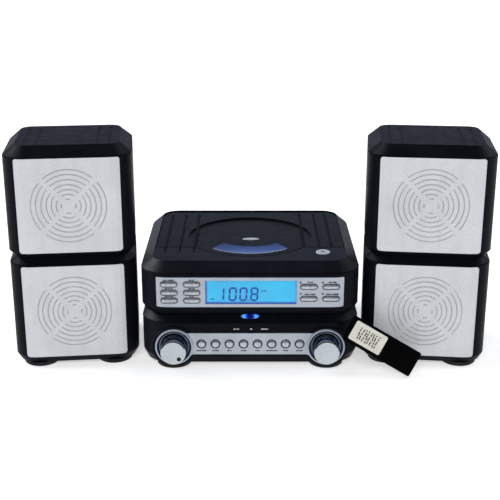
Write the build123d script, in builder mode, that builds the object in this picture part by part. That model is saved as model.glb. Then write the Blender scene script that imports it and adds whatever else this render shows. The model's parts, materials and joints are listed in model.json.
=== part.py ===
from build123d import *
import os
from math import sin, cos, radians

os.makedirs("parts", exist_ok=True)

# ---------------------------------------------------------------- driving dimensions (mm)
# The origin is on the floor, at the middle of the whole system's box. +X is to the right,
# +Y runs from front to back, +Z is up. Depths below are measured back from the main
# unit's front plane, which stands at Y = FRONT_Y.
FRONT_Y = -89.3

MAIN_W, MAIN_D, MAIN_R = 230.0, 205.0, 30.0     # both decks, plan
WALL = 3.0
FOOT_H = 4.5
Z_BELT = 13.0          # top of the lower deck's bottom chamfer
Z_SEAM_LOW = 51.3      # lower deck: side meets hip
Z_WAIST = 60.5         # upper deck sits here
Z_OVER = 65.5          # top of the upper deck's bottom chamfer
Z_SEAM_UP = 106.0      # upper deck: side meets hip
Z_TOP = 116.0
HIP_IN = 12.5          # how far a hip leans in over its height
HIP_H = 10.0
GROOVE = 0.7           # shadow line under each hip

DISC_Y = 96.0          # spindle axis, back from the front plane
LID_X = 101.5
LID_FRONT, LID_BACK, SEAT_BACK = 55.2, 189.5, 191.1
LID_R = 70.3           # the lid's front bulge
DISH_R = 68.0          # sunken middle of the lid
LID_GAP = 0.4
Z_LEDGE = 113.0        # the lid rests above this ledge
HINGE_Y, HINGE_Z = 187.0, 111.8
LUGS = (-87.0, -71.0, 67.0, 83.0)               # left edges of the case's hinge knuckles

RING_X, RING_Z, RING_RO, RING_RI = 80.0, 24.6, 20.0, 17.0
KNOB_R = 13.2
KNOB_FACE, KNOB_BACK = -18.5, 6.0
SHAFT_R, SHAFT_BORE = 3.0, 3.05

PILL_L, PILL_H = 16.4, 5.0
PILLS = {
    "key_clock_up": (-84.0, 94.3), "key_clock_mid": (-84.0, 85.1), "key_clock_low": (-84.0, 76.5),
    "key_timer_up": (-60.5, 94.3), "key_timer_mid": (-60.5, 85.1), "key_timer_low": (-60.5, 76.5),
    "key_band_up": (61.0, 91.6), "key_band_low": (61.0, 78.4),
    "key_power_up": (84.1, 91.6), "key_power_low": (84.1, 78.4),
}
KEY_R, KEY_Z = 4.0, 27.5
KEY_X = [-51.2 + 14.79 * i for i in range(8)]
KEY_GAP = 0.3

SPK_X, SPK_Y, SPK_TOE = 183.3, 4.2, 6.0         # front centre, and toe-in in degrees
SPK_W, SPK_D, SPK_R = 131.0, 117.0, 24.0
SPK_WALL = 5.0
SPK_Z = dict(belt=11.5, seam1=114.6, waist=122.5, over=127.3, seam2=228.0, top=238.0)
GRILLE_W = 105.4
GRILLE_Z = [(11.8, 112.8), (127.6, 226.9)]
DRIVER_Z = [62.6, 177.4]
FOOT_R = 18.5
MAIN_FEET = [(-81, 16), (81, 16), (-81, 184), (81, 184)]
SCREWS = [(-103, 62), (103, 62), (-103, 150), (103, 150)]

REMOTE_L, REMOTE_W, REMOTE_T = 79.6, 27.8, 7.0
REMOTE_AT = (136.7, -18.0, 32.7)                # middle of its face
REMOTE_LEAN, REMOTE_ROLL = 19.0, 30.0

FRONT = Plane(origin=(0, FRONT_Y, 0), x_dir=(1, 0, 0), z_dir=(0, -1, 0))


# ---------------------------------------------------------------- helpers
def front(y):
    """Sketch plane facing the viewer, y back from the front plane; local x, y are X, Z."""
    return FRONT.offset(-y)


def deck(w, d, r, y0, z0, z1, i0=0.0, i1=None, base=None, mode=Mode.ADD):
    """Rounded-rectangle slice from z0 to z1 whose front edge is y0 back, inset i0 at z0 and i1 at z1."""
    i1 = i0 if i1 is None else i1
    base = Plane((0, FRONT_Y, 0)) if base is None else base
    with BuildSketch(base.offset(z0)) as low:
        with Locations((0, y0 + d / 2)):
            RectangleRounded(w - 2 * i0, d - 2 * i0, r - i0)
    if i0 == i1:
        extrude(low.sketch, amount=z1 - z0, mode=mode)
        return
    with BuildSketch(base.offset(z1)) as high:
        with Locations((0, y0 + d / 2)):
            RectangleRounded(w - 2 * i1, d - 2 * i1, r - i1)
    loft([low.sketch.face(), high.sketch.face()], ruled=True, mode=mode)


def save(block, name):
    block.part.label = name
    export_step(block.part, f"parts/{name}.step")


# ================================================================ shared tools (not exported)
# outline of the silver panel round the knobs: a strip with a ring at each end
with BuildSketch(FRONT) as dogbone:
    with Locations((0, (15.6 + 39.6) / 2)):
        Rectangle(2 * RING_X, 39.6 - 15.6)
    with Locations((-RING_X, RING_Z), (RING_X, RING_Z)):
        Circle(RING_RO)
    fillet(dogbone.vertices().filter_by(lambda v: abs(v.X) < 79 and v.Z > 30), 9.0)
    fillet(dogbone.vertices().filter_by(lambda v: abs(v.X) < 79 and v.Z < 20), 7.0)

# skin of the upper deck's front, 0.4 proud and 1.8 deep, for the silver panel
with BuildPart() as upper_panel_zone:
    deck(MAIN_W, MAIN_D, MAIN_R, 0, 68, 103, -0.4)
    deck(MAIN_W, MAIN_D, MAIN_R, 0, 68, 103, 1.8, mode=Mode.SUBTRACT)
    with BuildSketch(front(-2)) as s:
        with Locations((0, 85.35)):
            RectangleRounded(195.0, 32.7, 1.2)
    extrude(s.sketch, amount=-12, mode=Mode.INTERSECT)

with BuildPart() as upper_panel_pocket:
    deck(MAIN_W, MAIN_D, MAIN_R, 0, 68, 103, -1.0)
    deck(MAIN_W, MAIN_D, MAIN_R, 0, 68, 103, 1.8, mode=Mode.SUBTRACT)
    with BuildSketch(front(-2)) as s:
        with Locations((0, 85.35)):
            RectangleRounded(195.4, 33.1, 1.4)
    extrude(s.sketch, amount=-12, mode=Mode.INTERSECT)

# the lid's outline, and the same a gap larger for its seat
with BuildSketch(Plane((0, FRONT_Y, Z_LEDGE))) as lid_outline:
    with Locations((0, (LID_FRONT + LID_BACK) / 2)):
        Rectangle(2 * LID_X, LID_BACK - LID_FRONT)
    fillet(lid_outline.vertices().group_by(Axis.Y)[-1], 24.0)
    with Locations((0, DISC_Y)):
        Circle(LID_R)
with BuildSketch(Plane((0, FRONT_Y, Z_LEDGE))) as lid_seat:
    with Locations((0, (LID_FRONT - LID_GAP + SEAT_BACK) / 2)):
        Rectangle(2 * LID_X + 2 * LID_GAP, SEAT_BACK - LID_FRONT + LID_GAP)
    fillet(lid_seat.vertices().group_by(Axis.Y)[-1], 14.0)
    with Locations((0, DISC_Y)):
        Circle(LID_R + LID_GAP)

# the lid's back strip swings down into this trench
with BuildSketch(Plane((0, FRONT_Y, 110))) as hinge_trench:
    with Locations((0, (150 + SEAT_BACK) / 2)):
        Rectangle(2 * LID_X + 2 * LID_GAP, SEAT_BACK - 150)
    fillet(hinge_trench.vertices().group_by(Axis.Y)[-1], 14.0)
    with Locations((0, 180.5 + 10)):
        Rectangle(220, 20, mode=Mode.INTERSECT)

# the six ribs cut into the top, which run on across the lid's front seam
RIBS = [(-90.5, 40, 172), (-75.0, 40, 172), (-59.7, 40, 172), (58.6, 57, 176), (74.9, 57, 176), (88.1, 57, 176)]
# (round-bottomed grooves, 4.4 wide and 0.9 deep)
with BuildPart() as rib_cutters:
    for rx, y_a, y_b in RIBS:
        with BuildSketch(front(y_a)) as s:
            with Locations((rx, Z_TOP - 0.9 + 3.14)):
                Circle(3.14)
        extrude(s.sketch, amount=-(y_b - y_a))

# ================================================================ main unit, lower deck
with BuildPart() as lower_case:
    deck(MAIN_W, MAIN_D, MAIN_R, 0, FOOT_H, Z_BELT, 4.0, 0.0)
    deck(MAIN_W, MAIN_D, MAIN_R, 0, Z_BELT, Z_SEAM_LOW - GROOVE)
    deck(MAIN_W, MAIN_D, MAIN_R, 0, Z_SEAM_LOW - GROOVE, Z_SEAM_LOW, 1.1)
    deck(MAIN_W, MAIN_D, MAIN_R, 0, Z_SEAM_LOW, Z_WAIST, 0.5, 11.5)
    # round bosses behind the two dial rings
    with BuildSketch(front(-1.5)) as s:
        with Locations((-RING_X, RING_Z), (RING_X, RING_Z)):
            Circle(22.5)
    extrude(s.sketch, amount=-8)
    # hollow inside, open below for the base plate and above to the upper deck
    deck(MAIN_W, MAIN_D, MAIN_R, 0, FOOT_H - 0.1, 8.0, 7.0, mode=Mode.SUBTRACT)
    deck(MAIN_W, MAIN_D, MAIN_R, 0, 8.0, 48.0, WALL, mode=Mode.SUBTRACT)
    deck(MAIN_W, MAIN_D, MAIN_R, 0, 48.0, Z_WAIST + 0.1, WALL, 14.0, mode=Mode.SUBTRACT)
    # dial cups
    with BuildSketch(front(-1.5)) as s:
        with Locations((-RING_X, RING_Z), (RING_X, RING_Z)):
            Circle(18.9)
    extrude(s.sketch, amount=-12.5)
    with BuildSketch(front(-3)) as s:
        with Locations((-RING_X, RING_Z), (RING_X, RING_Z)):
            Circle(RING_RI)
    extrude(s.sketch, amount=-12.5, mode=Mode.SUBTRACT)
    with BuildSketch(front(5)) as s:
        with Locations((-RING_X, RING_Z), (RING_X, RING_Z)):
            Circle(4.0)
    extrude(s.sketch, amount=-10, mode=Mode.SUBTRACT)
    # seat for the silver panel, key holes
    with BuildSketch(front(1.0)) as s:
        add(dogbone.sketch.moved(Location((0, 1.0, 0))))
        offset(amount=0.12)
    extrude(s.sketch, amount=6, mode=Mode.SUBTRACT)
    with BuildSketch(front(-2)) as s:
        with Locations(*[(kx, KEY_Z) for kx in KEY_X]):
            Circle(KEY_R + 0.6)
    extrude(s.sketch, amount=-8, mode=Mode.SUBTRACT)
    # four bosses for the case screws
    with BuildSketch(Plane((0, FRONT_Y, 7.2))) as s:
        with Locations(*SCREWS):
            Circle(4.2)
        with Locations(*[(x + (5.5 if x > 0 else -5.5), y) for x, y in SCREWS]):
            Rectangle(9, 2)
        with Locations(*SCREWS):
            Circle(1.6, mode=Mode.SUBTRACT)
    extrude(s.sketch, amount=24)
    # rear panel opening and its seat
    with BuildSketch(front(MAIN_D + 1)) as s:
        with Locations((0, 29)):
            RectangleRounded(166, 34, 2)
    extrude(s.sketch, amount=8, mode=Mode.SUBTRACT)
    with BuildSketch(front(MAIN_D + 1)) as s:
        with Locations((0, 29)):
            RectangleRounded(170.2, 38.2, 3)
    extrude(s.sketch, amount=2.6, mode=Mode.SUBTRACT)
    # oval seat of the status light, square to the hip
    hip_n = Vector(0, -(Z_WAIST - Z_SEAM_LOW), HIP_IN - 1.5).normalized()
    LIGHT = Plane(origin=(0, FRONT_Y + 0.5 + 11.0 * (56.0 - Z_SEAM_LOW) / (Z_WAIST - Z_SEAM_LOW), 56.0),
                  x_dir=(1, 0, 0), z_dir=hip_n)
    with BuildSketch(LIGHT.offset(3)) as s:
        Ellipse(9.6, 3.0)
    extrude(s.sketch, amount=-10, mode=Mode.SUBTRACT)
    # room for the front feet under the bosses
    with BuildSketch(Plane((0, FRONT_Y, -1))) as s:
        with Locations(*MAIN_FEET):
            Circle(FOOT_R + 0.15)
    extrude(s.sketch, amount=1 + FOOT_H, mode=Mode.SUBTRACT)
save(lower_case, "lower_case")

with BuildPart() as base_plate:
    deck(MAIN_W, MAIN_D, MAIN_R, 0, FOOT_H, 7.0, 7.1)
    with BuildSketch(Plane((0, FRONT_Y, FOOT_H))) as s:
        with Locations(*SCREWS):
            Circle(1.7)
    extrude(s.sketch, amount=5, mode=Mode.SUBTRACT)
    with BuildSketch(Plane((0, FRONT_Y, FOOT_H))) as s:
        with Locations(*SCREWS):
            Circle(3.2)
    extrude(s.sketch, amount=1.6, mode=Mode.SUBTRACT)
    # ventilation slots
    with BuildSketch(Plane((0, FRONT_Y, FOOT_H))) as s:
        with Locations(*[(vx, 110) for vx in range(-42, 43, 12)]):
            SlotOverall(46, 3.0, rotation=90)
    extrude(s.sketch, amount=5, mode=Mode.SUBTRACT)
    # cut back round the dial cups
    with BuildSketch(front(0)) as s:
        with Locations((-RING_X, RING_Z), (RING_X, RING_Z)):
            Circle(19.2)
    extrude(s.sketch, amount=-11.4, mode=Mode.SUBTRACT)
    # standoffs for the main board
    with BuildSketch(Plane((0, FRONT_Y, 7.0))) as s:
        with Locations((-40, 42), (85, 42), (-40, 160), (85, 160)):
            Circle(3.0)
    extrude(s.sketch, amount=7)
save(base_plate, "base_plate")

with BuildPart() as main_feet:
    with BuildSketch(Plane((0, FRONT_Y, 0))) as s:
        with Locations(*MAIN_FEET):
            Circle(FOOT_R)
    extrude(s.sketch, amount=FOOT_H)
    chamfer(main_feet.edges().group_by(Axis.Z)[0], 0.8)
save(main_feet, "main_feet")

with BuildPart() as case_screws:
    with BuildSketch(Plane((0, FRONT_Y, FOOT_H + 0.1))) as s:
        with Locations(*SCREWS):
            Circle(2.9)
    extrude(s.sketch, amount=1.5)
    with BuildSketch(Plane((0, FRONT_Y, FOOT_H + 1.0))) as s:
        with Locations(*SCREWS):
            Circle(1.5)
    extrude(s.sketch, amount=14)
    with BuildSketch(Plane((0, FRONT_Y, FOOT_H + 0.1))) as s:
        with Locations(*SCREWS):
            Rectangle(3.6, 0.8)
            Rectangle(0.8, 3.6)
    extrude(s.sketch, amount=0.8, mode=Mode.SUBTRACT)
save(case_screws, "case_screws")

# silver panel with its two raised rings
with BuildPart() as lower_bezel:
    with BuildSketch(front(1.0)) as s:
        add(dogbone.sketch.moved(Location((0, 1.0, 0))))
        with Locations((-RING_X, RING_Z), (RING_X, RING_Z)):
            Circle(RING_RI, mode=Mode.SUBTRACT)
        with Locations(*[(kx, KEY_Z) for kx in KEY_X]):
            Circle(KEY_R + 0.6, mode=Mode.SUBTRACT)
    extrude(s.sketch, amount=2.2)
    with BuildSketch(front(-1.0)) as s:
        with Locations((-RING_X, RING_Z), (RING_X, RING_Z)):
            Circle(RING_RO)
            Circle(RING_RI, mode=Mode.SUBTRACT)
    extrude(s.sketch, amount=2.4)
    fillet(lower_bezel.edges().filter_by(GeomType.CIRCLE).group_by(Axis.Y)[0], 1.1)
save(lower_bezel, "lower_bezel")

with BuildPart() as status_light:
    with BuildSketch(LIGHT.offset(-3.0)) as s:
        Ellipse(9.5, 2.9)
    extrude(s.sketch, amount=3.5)
    fillet(status_light.edges().sort_by(Axis.Z)[-1], 0.35)
save(status_light, "status_light")

with BuildPart() as rear_panel:
    with BuildSketch(front(MAIN_D)) as s:
        with Locations((0, 29)):
            RectangleRounded(170, 38, 3)
    extrude(s.sketch, amount=1.6)
    # holes for the six sockets and the power inlet
    with BuildSketch(front(MAIN_D + 1)) as s:
        with Locations((-66, 36), (-52, 36), (-66, 22), (-52, 22), (-24, 29), (-8, 29)):
            Circle(4.6)
        with Locations((60, 29)):
            RectangleRounded(22.2, 14.2, 2)
        with Locations(*[(vx, 29) for vx in (12, 18, 24, 30, 36)]):
            SlotOverall(22, 2.4, rotation=90)
    extrude(s.sketch, amount=5, mode=Mode.SUBTRACT)
save(rear_panel, "rear_panel")

with BuildPart() as rear_sockets:
    for sx, sz in [(-66, 36), (-52, 36), (-66, 22), (-52, 22), (-24, 29), (-8, 29)]:
        with BuildSketch(front(MAIN_D + 2.0)) as s:
            with Locations((sx, sz)):
                Circle(4.1)
                Circle(1.65, mode=Mode.SUBTRACT)
        extrude(s.sketch, amount=14)
    with BuildSketch(front(MAIN_D - 3.0)) as s:
        with Locations((-59, 29)):
            Rectangle(26, 26)
        with Locations((-16, 29)):
            Rectangle(28, 14)
    extrude(s.sketch, amount=7)
save(rear_sockets, "rear_sockets")

with BuildPart() as power_inlet:
    with BuildSketch(front(MAIN_D + 0.4)) as s:
        with Locations((60, 29)):
            RectangleRounded(22, 14, 1.8)
    extrude(s.sketch, amount=18)
    with BuildSketch(front(MAIN_D + 1)) as s:
        with Locations((60, 29)):
            SlotOverall(17.0, 8.6)
    extrude(s.sketch, amount=13, mode=Mode.SUBTRACT)
    with BuildSketch(front(MAIN_D - 2)) as s:
        with Locations((55.7, 29), (64.3, 29)):
            Circle(1.2)
    extrude(s.sketch, amount=11)
save(power_inlet, "power_inlet")

with BuildPart() as main_board:
    with BuildSketch(Plane((0, FRONT_Y, 14.0))) as s:
        with Locations((24.5, 101)):
            Rectangle(141, 130)
    extrude(s.sketch, amount=1.6)
    # amplifier and tuner parts
    with BuildSketch(Plane((0, FRONT_Y, 15.6))) as s:
        with Locations((-20, 60), (5, 60)):
            Circle(6.5)
        with Locations((40, 70)):
            Rectangle(24, 24)
        with Locations((70, 60)):
            Rectangle(14, 20)
    extrude(s.sketch, amount=9)
    with BuildSketch(Plane((0, FRONT_Y, 15.6))) as s:
        with Locations((20, 105), (50, 105)):
            Rectangle(18, 12)
    extrude(s.sketch, amount=2.5)
save(main_board, "main_board")

with BuildPart() as transformer:
    with BuildSketch(Plane((0, FRONT_Y, 7.0))) as s:
        with Locations((-72, 130)):
            Rectangle(40, 54)
    extrude(s.sketch, amount=36)
    with BuildSketch(Plane((0, FRONT_Y, 13.0))) as s:
        with Locations((-72, 130)):
            Rectangle(50, 34)
    extrude(s.sketch, amount=24)
save(transformer, "transformer")

with BuildPart() as heat_sink:
    with BuildSketch(Plane((0, FRONT_Y, 15.6))) as s:
        with Locations((30, 134)):
            Rectangle(70, 4)
        with Locations(*[(hx, 142) for hx in range(-3, 66, 6)]):
            Rectangle(1.6, 14)
    extrude(s.sketch, amount=28)
save(heat_sink, "heat_sink")

# ================================================================ main unit, upper deck
with BuildPart() as upper_case:
    deck(MAIN_W, MAIN_D, MAIN_R, 0, Z_WAIST, Z_OVER, 3.5, 0.0)
    deck(MAIN_W, MAIN_D, MAIN_R, 0, Z_OVER, Z_SEAM_UP - GROOVE)
    deck(MAIN_W, MAIN_D, MAIN_R, 0, Z_SEAM_UP - GROOVE, Z_SEAM_UP, 1.1)
    deck(MAIN_W, MAIN_D, MAIN_R, 0, Z_SEAM_UP, Z_TOP, 0.5, HIP_IN)
    # hollow inside
    deck(MAIN_W, MAIN_D, MAIN_R, 0, Z_WAIST - 0.1, 63.0, 14.0, mode=Mode.SUBTRACT)
    deck(MAIN_W, MAIN_D, MAIN_R, 0, 63.0, 103.0, WALL, mode=Mode.SUBTRACT)
    deck(MAIN_W, MAIN_D, MAIN_R, 0, 103.0, 110.3, WALL, 12.0, mode=Mode.SUBTRACT)
    # the lid's seat, and the round hole over the disc well
    extrude(lid_seat.sketch, amount=6, mode=Mode.SUBTRACT)
    with BuildSketch(Plane((0, FRONT_Y, 110))) as s:
        with Locations((0, DISC_Y)):
            Circle(69.3)
    extrude(s.sketch, amount=4, mode=Mode.SUBTRACT)
    # room for the lid's hinge arms, its catch and the open button
    extrude(hinge_trench.sketch, amount=4, mode=Mode.SUBTRACT)
    with BuildSketch(Plane((0, FRONT_Y, 110))) as s:
        with Locations((90, 59.5)):
            Rectangle(9, 7)
    extrude(s.sketch, amount=4, mode=Mode.SUBTRACT)
    with BuildSketch(Plane((0, FRONT_Y, 110))) as s:
        with Locations((77.7, 39.7)):
            Circle(8.2)
    extrude(s.sketch, amount=8, mode=Mode.SUBTRACT)
    # hinge knuckles: one each side of every arm, bored for the lid's pins
    with BuildSketch(Plane(origin=(0, FRONT_Y + HINGE_Y, HINGE_Z), x_dir=(0, 1, 0), z_dir=(1, 0, 0))) as s:
        Circle(3.0)
        with Locations((2.75, -1.95)):
            Rectangle(5.5, 5.7)
        Circle(1.55, mode=Mode.SUBTRACT)
    for lug_x in LUGS:
        extrude(s.sketch.moved(Location((lug_x, 0, 0))), amount=4)
    # silver panel seat, display window and keys through the front wall
    add(upper_panel_pocket.part, mode=Mode.SUBTRACT)
    with BuildSketch(front(-1)) as s:
        with Locations((0.9, 85.35)):
            Rectangle(92, 23)
        with Locations(*PILLS.values()):
            SlotOverall(PILL_L + 2 * KEY_GAP, PILL_H + 2 * KEY_GAP)
    extrude(s.sketch, amount=-6, mode=Mode.SUBTRACT)
    add(rib_cutters.part, mode=Mode.SUBTRACT)
    # rear ventilation slots
    with BuildSketch(front(MAIN_D + 1)) as s:
        with Locations(*[(vx, 85) for vx in range(-60, 61, 12)]):
            SlotOverall(20, 3.0, rotation=90)
    extrude(s.sketch, amount=6, mode=Mode.SUBTRACT)
save(upper_case, "upper_case")

with BuildPart() as upper_bezel:
    add(upper_panel_zone.part)
    with BuildSketch(front(-1)) as s:
        with Locations((0.9, 85.35)):
            Rectangle(94.8, 25.9)
        with Locations(*PILLS.values()):
            SlotOverall(PILL_L + 2 * KEY_GAP, PILL_H + 2 * KEY_GAP)
    extrude(s.sketch, amount=-6, mode=Mode.SUBTRACT)
save(upper_bezel, "upper_bezel")

with BuildPart() as lcd_window:
    with BuildSketch(front(1.8)) as s:
        with Locations((0.9, 85.35)):
            Rectangle(94.8, 25.9)
    extrude(s.sketch, amount=1.9)
save(lcd_window, "lcd_window")

with BuildPart() as lcd_module:
    with BuildSketch(front(3.0)) as s:
        with Locations((0.9, 85.35)):
            Rectangle(100, 29)
    extrude(s.sketch, amount=-5.5)
    with BuildSketch(front(1.95)) as s:
        with Locations((0.9, 85.35)):
            Rectangle(91.4, 22.4)
    extrude(s.sketch, amount=-1.2)
save(lcd_module, "lcd_module")

# ---------------------------------------------------------------- keys
for name, (px, pz) in PILLS.items():
    with BuildPart() as pill:
        with BuildSketch(front(-1.9)) as s:
            with Locations((px, pz)):
                SlotOverall(PILL_L, PILL_H)
        extrude(s.sketch, amount=-6.8)
        fillet(pill.edges().group_by(Axis.Y)[0], 0.7)
        with BuildSketch(front(4.6)) as s:
            with Locations((px, pz)):
                RectangleRounded(PILL_L + 1.6, PILL_H + 1.8, 1.0)
        extrude(s.sketch, amount=-1.1)
        with BuildSketch(front(5.6)) as s:
            with Locations((px, pz)):
                Circle(1.4)
        extrude(s.sketch, amount=-1.0)
    save(pill, name)

for i, kx in enumerate(KEY_X):
    with BuildPart() as round_key:
        with BuildSketch(front(-2.6)) as s:
            with Locations((kx, KEY_Z)):
                Circle(KEY_R)
        extrude(s.sketch, amount=-7.5)
        fillet(round_key.edges().group_by(Axis.Y)[0], 1.0)
        with BuildSketch(front(4.6)) as s:
            with Locations((kx, KEY_Z)):
                Circle(KEY_R + 1.9)
        extrude(s.sketch, amount=-1.1)
        with BuildSketch(front(5.6)) as s:
            with Locations((kx, KEY_Z)):
                Circle(1.4)
        extrude(s.sketch, amount=-1.0)
    save(round_key, f"key_round_{i + 1}")

with BuildPart() as key_boards:
    with BuildSketch(front(11.4)) as s:
        with Locations((-72.2, 85.4)):
            Rectangle(42, 30)
        with Locations((72.5, 85.0)):
            Rectangle(42, 30)
        with Locations((0.6, 27.5)):
            Rectangle(116, 20)
    extrude(s.sketch, amount=-1.6)
    with BuildSketch(front(11.4)) as s:
        with Locations(*PILLS.values()):
            Rectangle(6, 6)
        with Locations(*[(kx, KEY_Z) for kx in KEY_X]):
            Rectangle(6, 6)
    extrude(s.sketch, amount=3.8)
save(key_boards, "key_boards")

# ---------------------------------------------------------------- rotary controls
with BuildPart() as encoders:
    for ex in (-RING_X, RING_X):
        with BuildSketch(front(11.2)) as s:
            with Locations((ex, RING_Z)):
                Rectangle(13, 13)
        extrude(s.sketch, amount=-7)
        with BuildSketch(front(7.0)) as s:
            with Locations((ex, RING_Z)):
                Circle(3.8)
        extrude(s.sketch, amount=-4.4)
        with BuildSketch(front(6.5)) as s:
            with Locations((ex, RING_Z)):
                Circle(SHAFT_BORE)
        extrude(s.sketch, amount=-10.5, mode=Mode.SUBTRACT)
save(encoders, "encoders")

for name, ex in (("volume_knob", -RING_X), ("tuning_knob", RING_X)):
    with BuildPart() as knob:
        with BuildSketch(front(KNOB_FACE)) as s:
            with Locations((ex, RING_Z)):
                Circle(KNOB_R)
        extrude(s.sketch, amount=-(KNOB_BACK - KNOB_FACE - 3.5))
        chamfer(knob.edges().group_by(Axis.Y)[0], 1.1)
        # narrower neck where the knob goes into its dish
        with BuildSketch(front(KNOB_BACK - 3.6)) as s:
            with Locations((ex, RING_Z)):
                Circle(KNOB_R - 1.6)
        extrude(s.sketch, amount=-3.6)
        with BuildSketch(front(KNOB_BACK - 1)) as s:
            with Locations((ex, RING_Z)):
                Circle(SHAFT_R)
        extrude(s.sketch, amount=-11)
        if name == "volume_knob":
            with BuildSketch(front(KNOB_FACE - 1)) as s:
                with Locations((ex + 6.0, RING_Z - 6.8)):
                    Circle(2.3)
            extrude(s.sketch, amount=-1.8, mode=Mode.SUBTRACT)
    save(knob, name)

# ---------------------------------------------------------------- disc drive
WELL_R = 62.0
SLED_RUN = 35.0
with BuildPart() as disc_well:
    with BuildSketch(Plane((0, FRONT_Y, 107.8))) as s:
        with Locations((0, DISC_Y)):
            Circle(72.0)
    extrude(s.sketch, amount=2.5)
    with BuildSketch(Plane((0, FRONT_Y, 99.0))) as s:
        with Locations((0, DISC_Y)):
            Circle(WELL_R + 2.2)
    extrude(s.sketch, amount=9.5)
    with BuildSketch(Plane((0, FRONT_Y, 101.0))) as s:
        with Locations((0, DISC_Y)):
            Circle(WELL_R)
    extrude(s.sketch, amount=12, mode=Mode.SUBTRACT)
    # hub hole and the pickup's slot
    with BuildSketch(Plane((0, FRONT_Y, 98.0))) as s:
        with Locations((0, DISC_Y)):
            Circle(17.0)
        with Locations((0, DISC_Y - 40.0)):
            RectangleRounded(24, 54, 4)
    extrude(s.sketch, amount=6, mode=Mode.SUBTRACT)
save(disc_well, "disc_well")

with BuildPart() as mech_chassis:
    # open frame under the well, its spindle motor seat and the two sled rails
    with BuildSketch(Plane((0, FRONT_Y, 84.0))) as s:
        with Locations((0, DISC_Y - 22)):
            RectangleRounded(84, 96, 5)
            Rectangle(64, 60, mode=Mode.SUBTRACT)
        with Locations((0, DISC_Y)):
            Circle(17)
            Circle(3.2, mode=Mode.SUBTRACT)
    extrude(s.sketch, amount=2.5)
    # posts up to the underside of the well
    with BuildSketch(Plane((0, FRONT_Y, 86.5))) as s:
        with Locations((-37, 31), (37, 31), (-37, 117), (37, 117)):
            Circle(3)
    extrude(s.sketch, amount=12.5)
    # rails and the blocks that hold them
    with BuildSketch(Plane((0, FRONT_Y, 86.5))) as s:
        with Locations((-26, 41), (26, 41), (-26, 106), (26, 106)):
            Rectangle(6, 6)
    extrude(s.sketch, amount=7)
    with BuildSketch(front(38)) as s:
        with Locations((26, 91)):
            Circle(1.5)
    extrude(s.sketch, amount=-71)
    with BuildSketch(front(30)) as s:
        with Locations((-26, 91)):
            Circle(1.55)
    extrude(s.sketch, amount=-90, mode=Mode.SUBTRACT)
save(mech_chassis, "mech_chassis")

with BuildPart() as spindle_motor:
    with BuildSketch(Plane((0, FRONT_Y, 71.5))) as s:
        with Locations((0, DISC_Y)):
            Circle(12.0)
    extrude(s.sketch, amount=12.5)
    with BuildSketch(Plane((0, FRONT_Y, 84.0))) as s:
        with Locations((0, DISC_Y)):
            Circle(3.0)
    extrude(s.sketch, amount=3.5)
    with BuildSketch(Plane((0, FRONT_Y, 74.0))) as s:
        with Locations((0, DISC_Y)):
            Circle(1.05)
    extrude(s.sketch, amount=20, mode=Mode.SUBTRACT)
save(spindle_motor, "spindle_motor")

with BuildPart() as spindle_hub:
    with BuildSketch(Plane((0, FRONT_Y, 99.5))) as s:
        with Locations((0, DISC_Y)):
            Circle(14.5)
    extrude(s.sketch, amount=3.5)
    with BuildSketch(Plane((0, FRONT_Y, 103.0))) as s:
        with Locations((0, DISC_Y)):
            Circle(7.3)
    extrude(s.sketch, amount=2.6)
    chamfer(spindle_hub.edges().group_by(Axis.Z)[-1], 0.8)
    with BuildSketch(Plane((0, FRONT_Y, 75.0))) as s:
        with Locations((0, DISC_Y)):
            Circle(1.0)
    extrude(s.sketch, amount=25)
    with BuildSketch(Plane((0, FRONT_Y, 89.0))) as s:
        with Locations((0, DISC_Y)):
            Circle(3.0)
    extrude(s.sketch, amount=11)
save(spindle_hub, "spindle_hub")

with BuildPart() as pickup_sled:
    # starts beside the hub and runs towards the front
    with BuildSketch(Plane((0, FRONT_Y, 88.0))) as s:
        with Locations((0, 81)):
            RectangleRounded(60, 17, 1.5)
        with Locations((0, 92)):
            Circle(9.0, mode=Mode.SUBTRACT)
    extrude(s.sketch, amount=6)
    with BuildSketch(Plane((0, FRONT_Y, 94.0))) as s:
        with Locations((0, 75.5)):
            Rectangle(15, 5.5)
    extrude(s.sketch, amount=2.5)
    with BuildSketch(Plane((0, FRONT_Y, 96.5))) as s:
        with Locations((0, 75.5)):
            Circle(2.4)
    extrude(s.sketch, amount=2.0)
    with BuildSketch(front(60)) as s:
        with Locations((26, 91), (-26, 91)):
            Circle(1.56)
    extrude(s.sketch, amount=-40, mode=Mode.SUBTRACT)
save(pickup_sled, "pickup_sled")

with BuildPart() as lead_screw:
    with BuildSketch(front(39)) as s:
        with Locations((-26, 91)):
            Circle(1.5)
    extrude(s.sketch, amount=-70)
    with BuildSketch(front(109.6)) as s:
        with Locations((-26, 91)):
            Circle(4.0)
            Circle(1.2, mode=Mode.SUBTRACT)
    extrude(s.sketch, amount=-2.4)
    with BuildSketch(front(109.0)) as s:
        with Locations((-26, 91)):
            Circle(1.5)
    extrude(s.sketch, amount=-3.0)
save(lead_screw, "lead_screw")

# ---------------------------------------------------------------- lid
with BuildSketch(Plane((0, FRONT_Y, 111.4))) as window_outline:
    with BuildLine():
        ThreePointArc((-41.6, 57.5), (0, 40.0), (41.6, 57.5))
        Line((41.6, 57.5), (28.7, 77.3))
        ThreePointArc((28.7, 77.3), (0, 65.0), (-28.7, 77.3))
        Line((-28.7, 77.3), (-41.6, 57.5))
    make_face()

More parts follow.
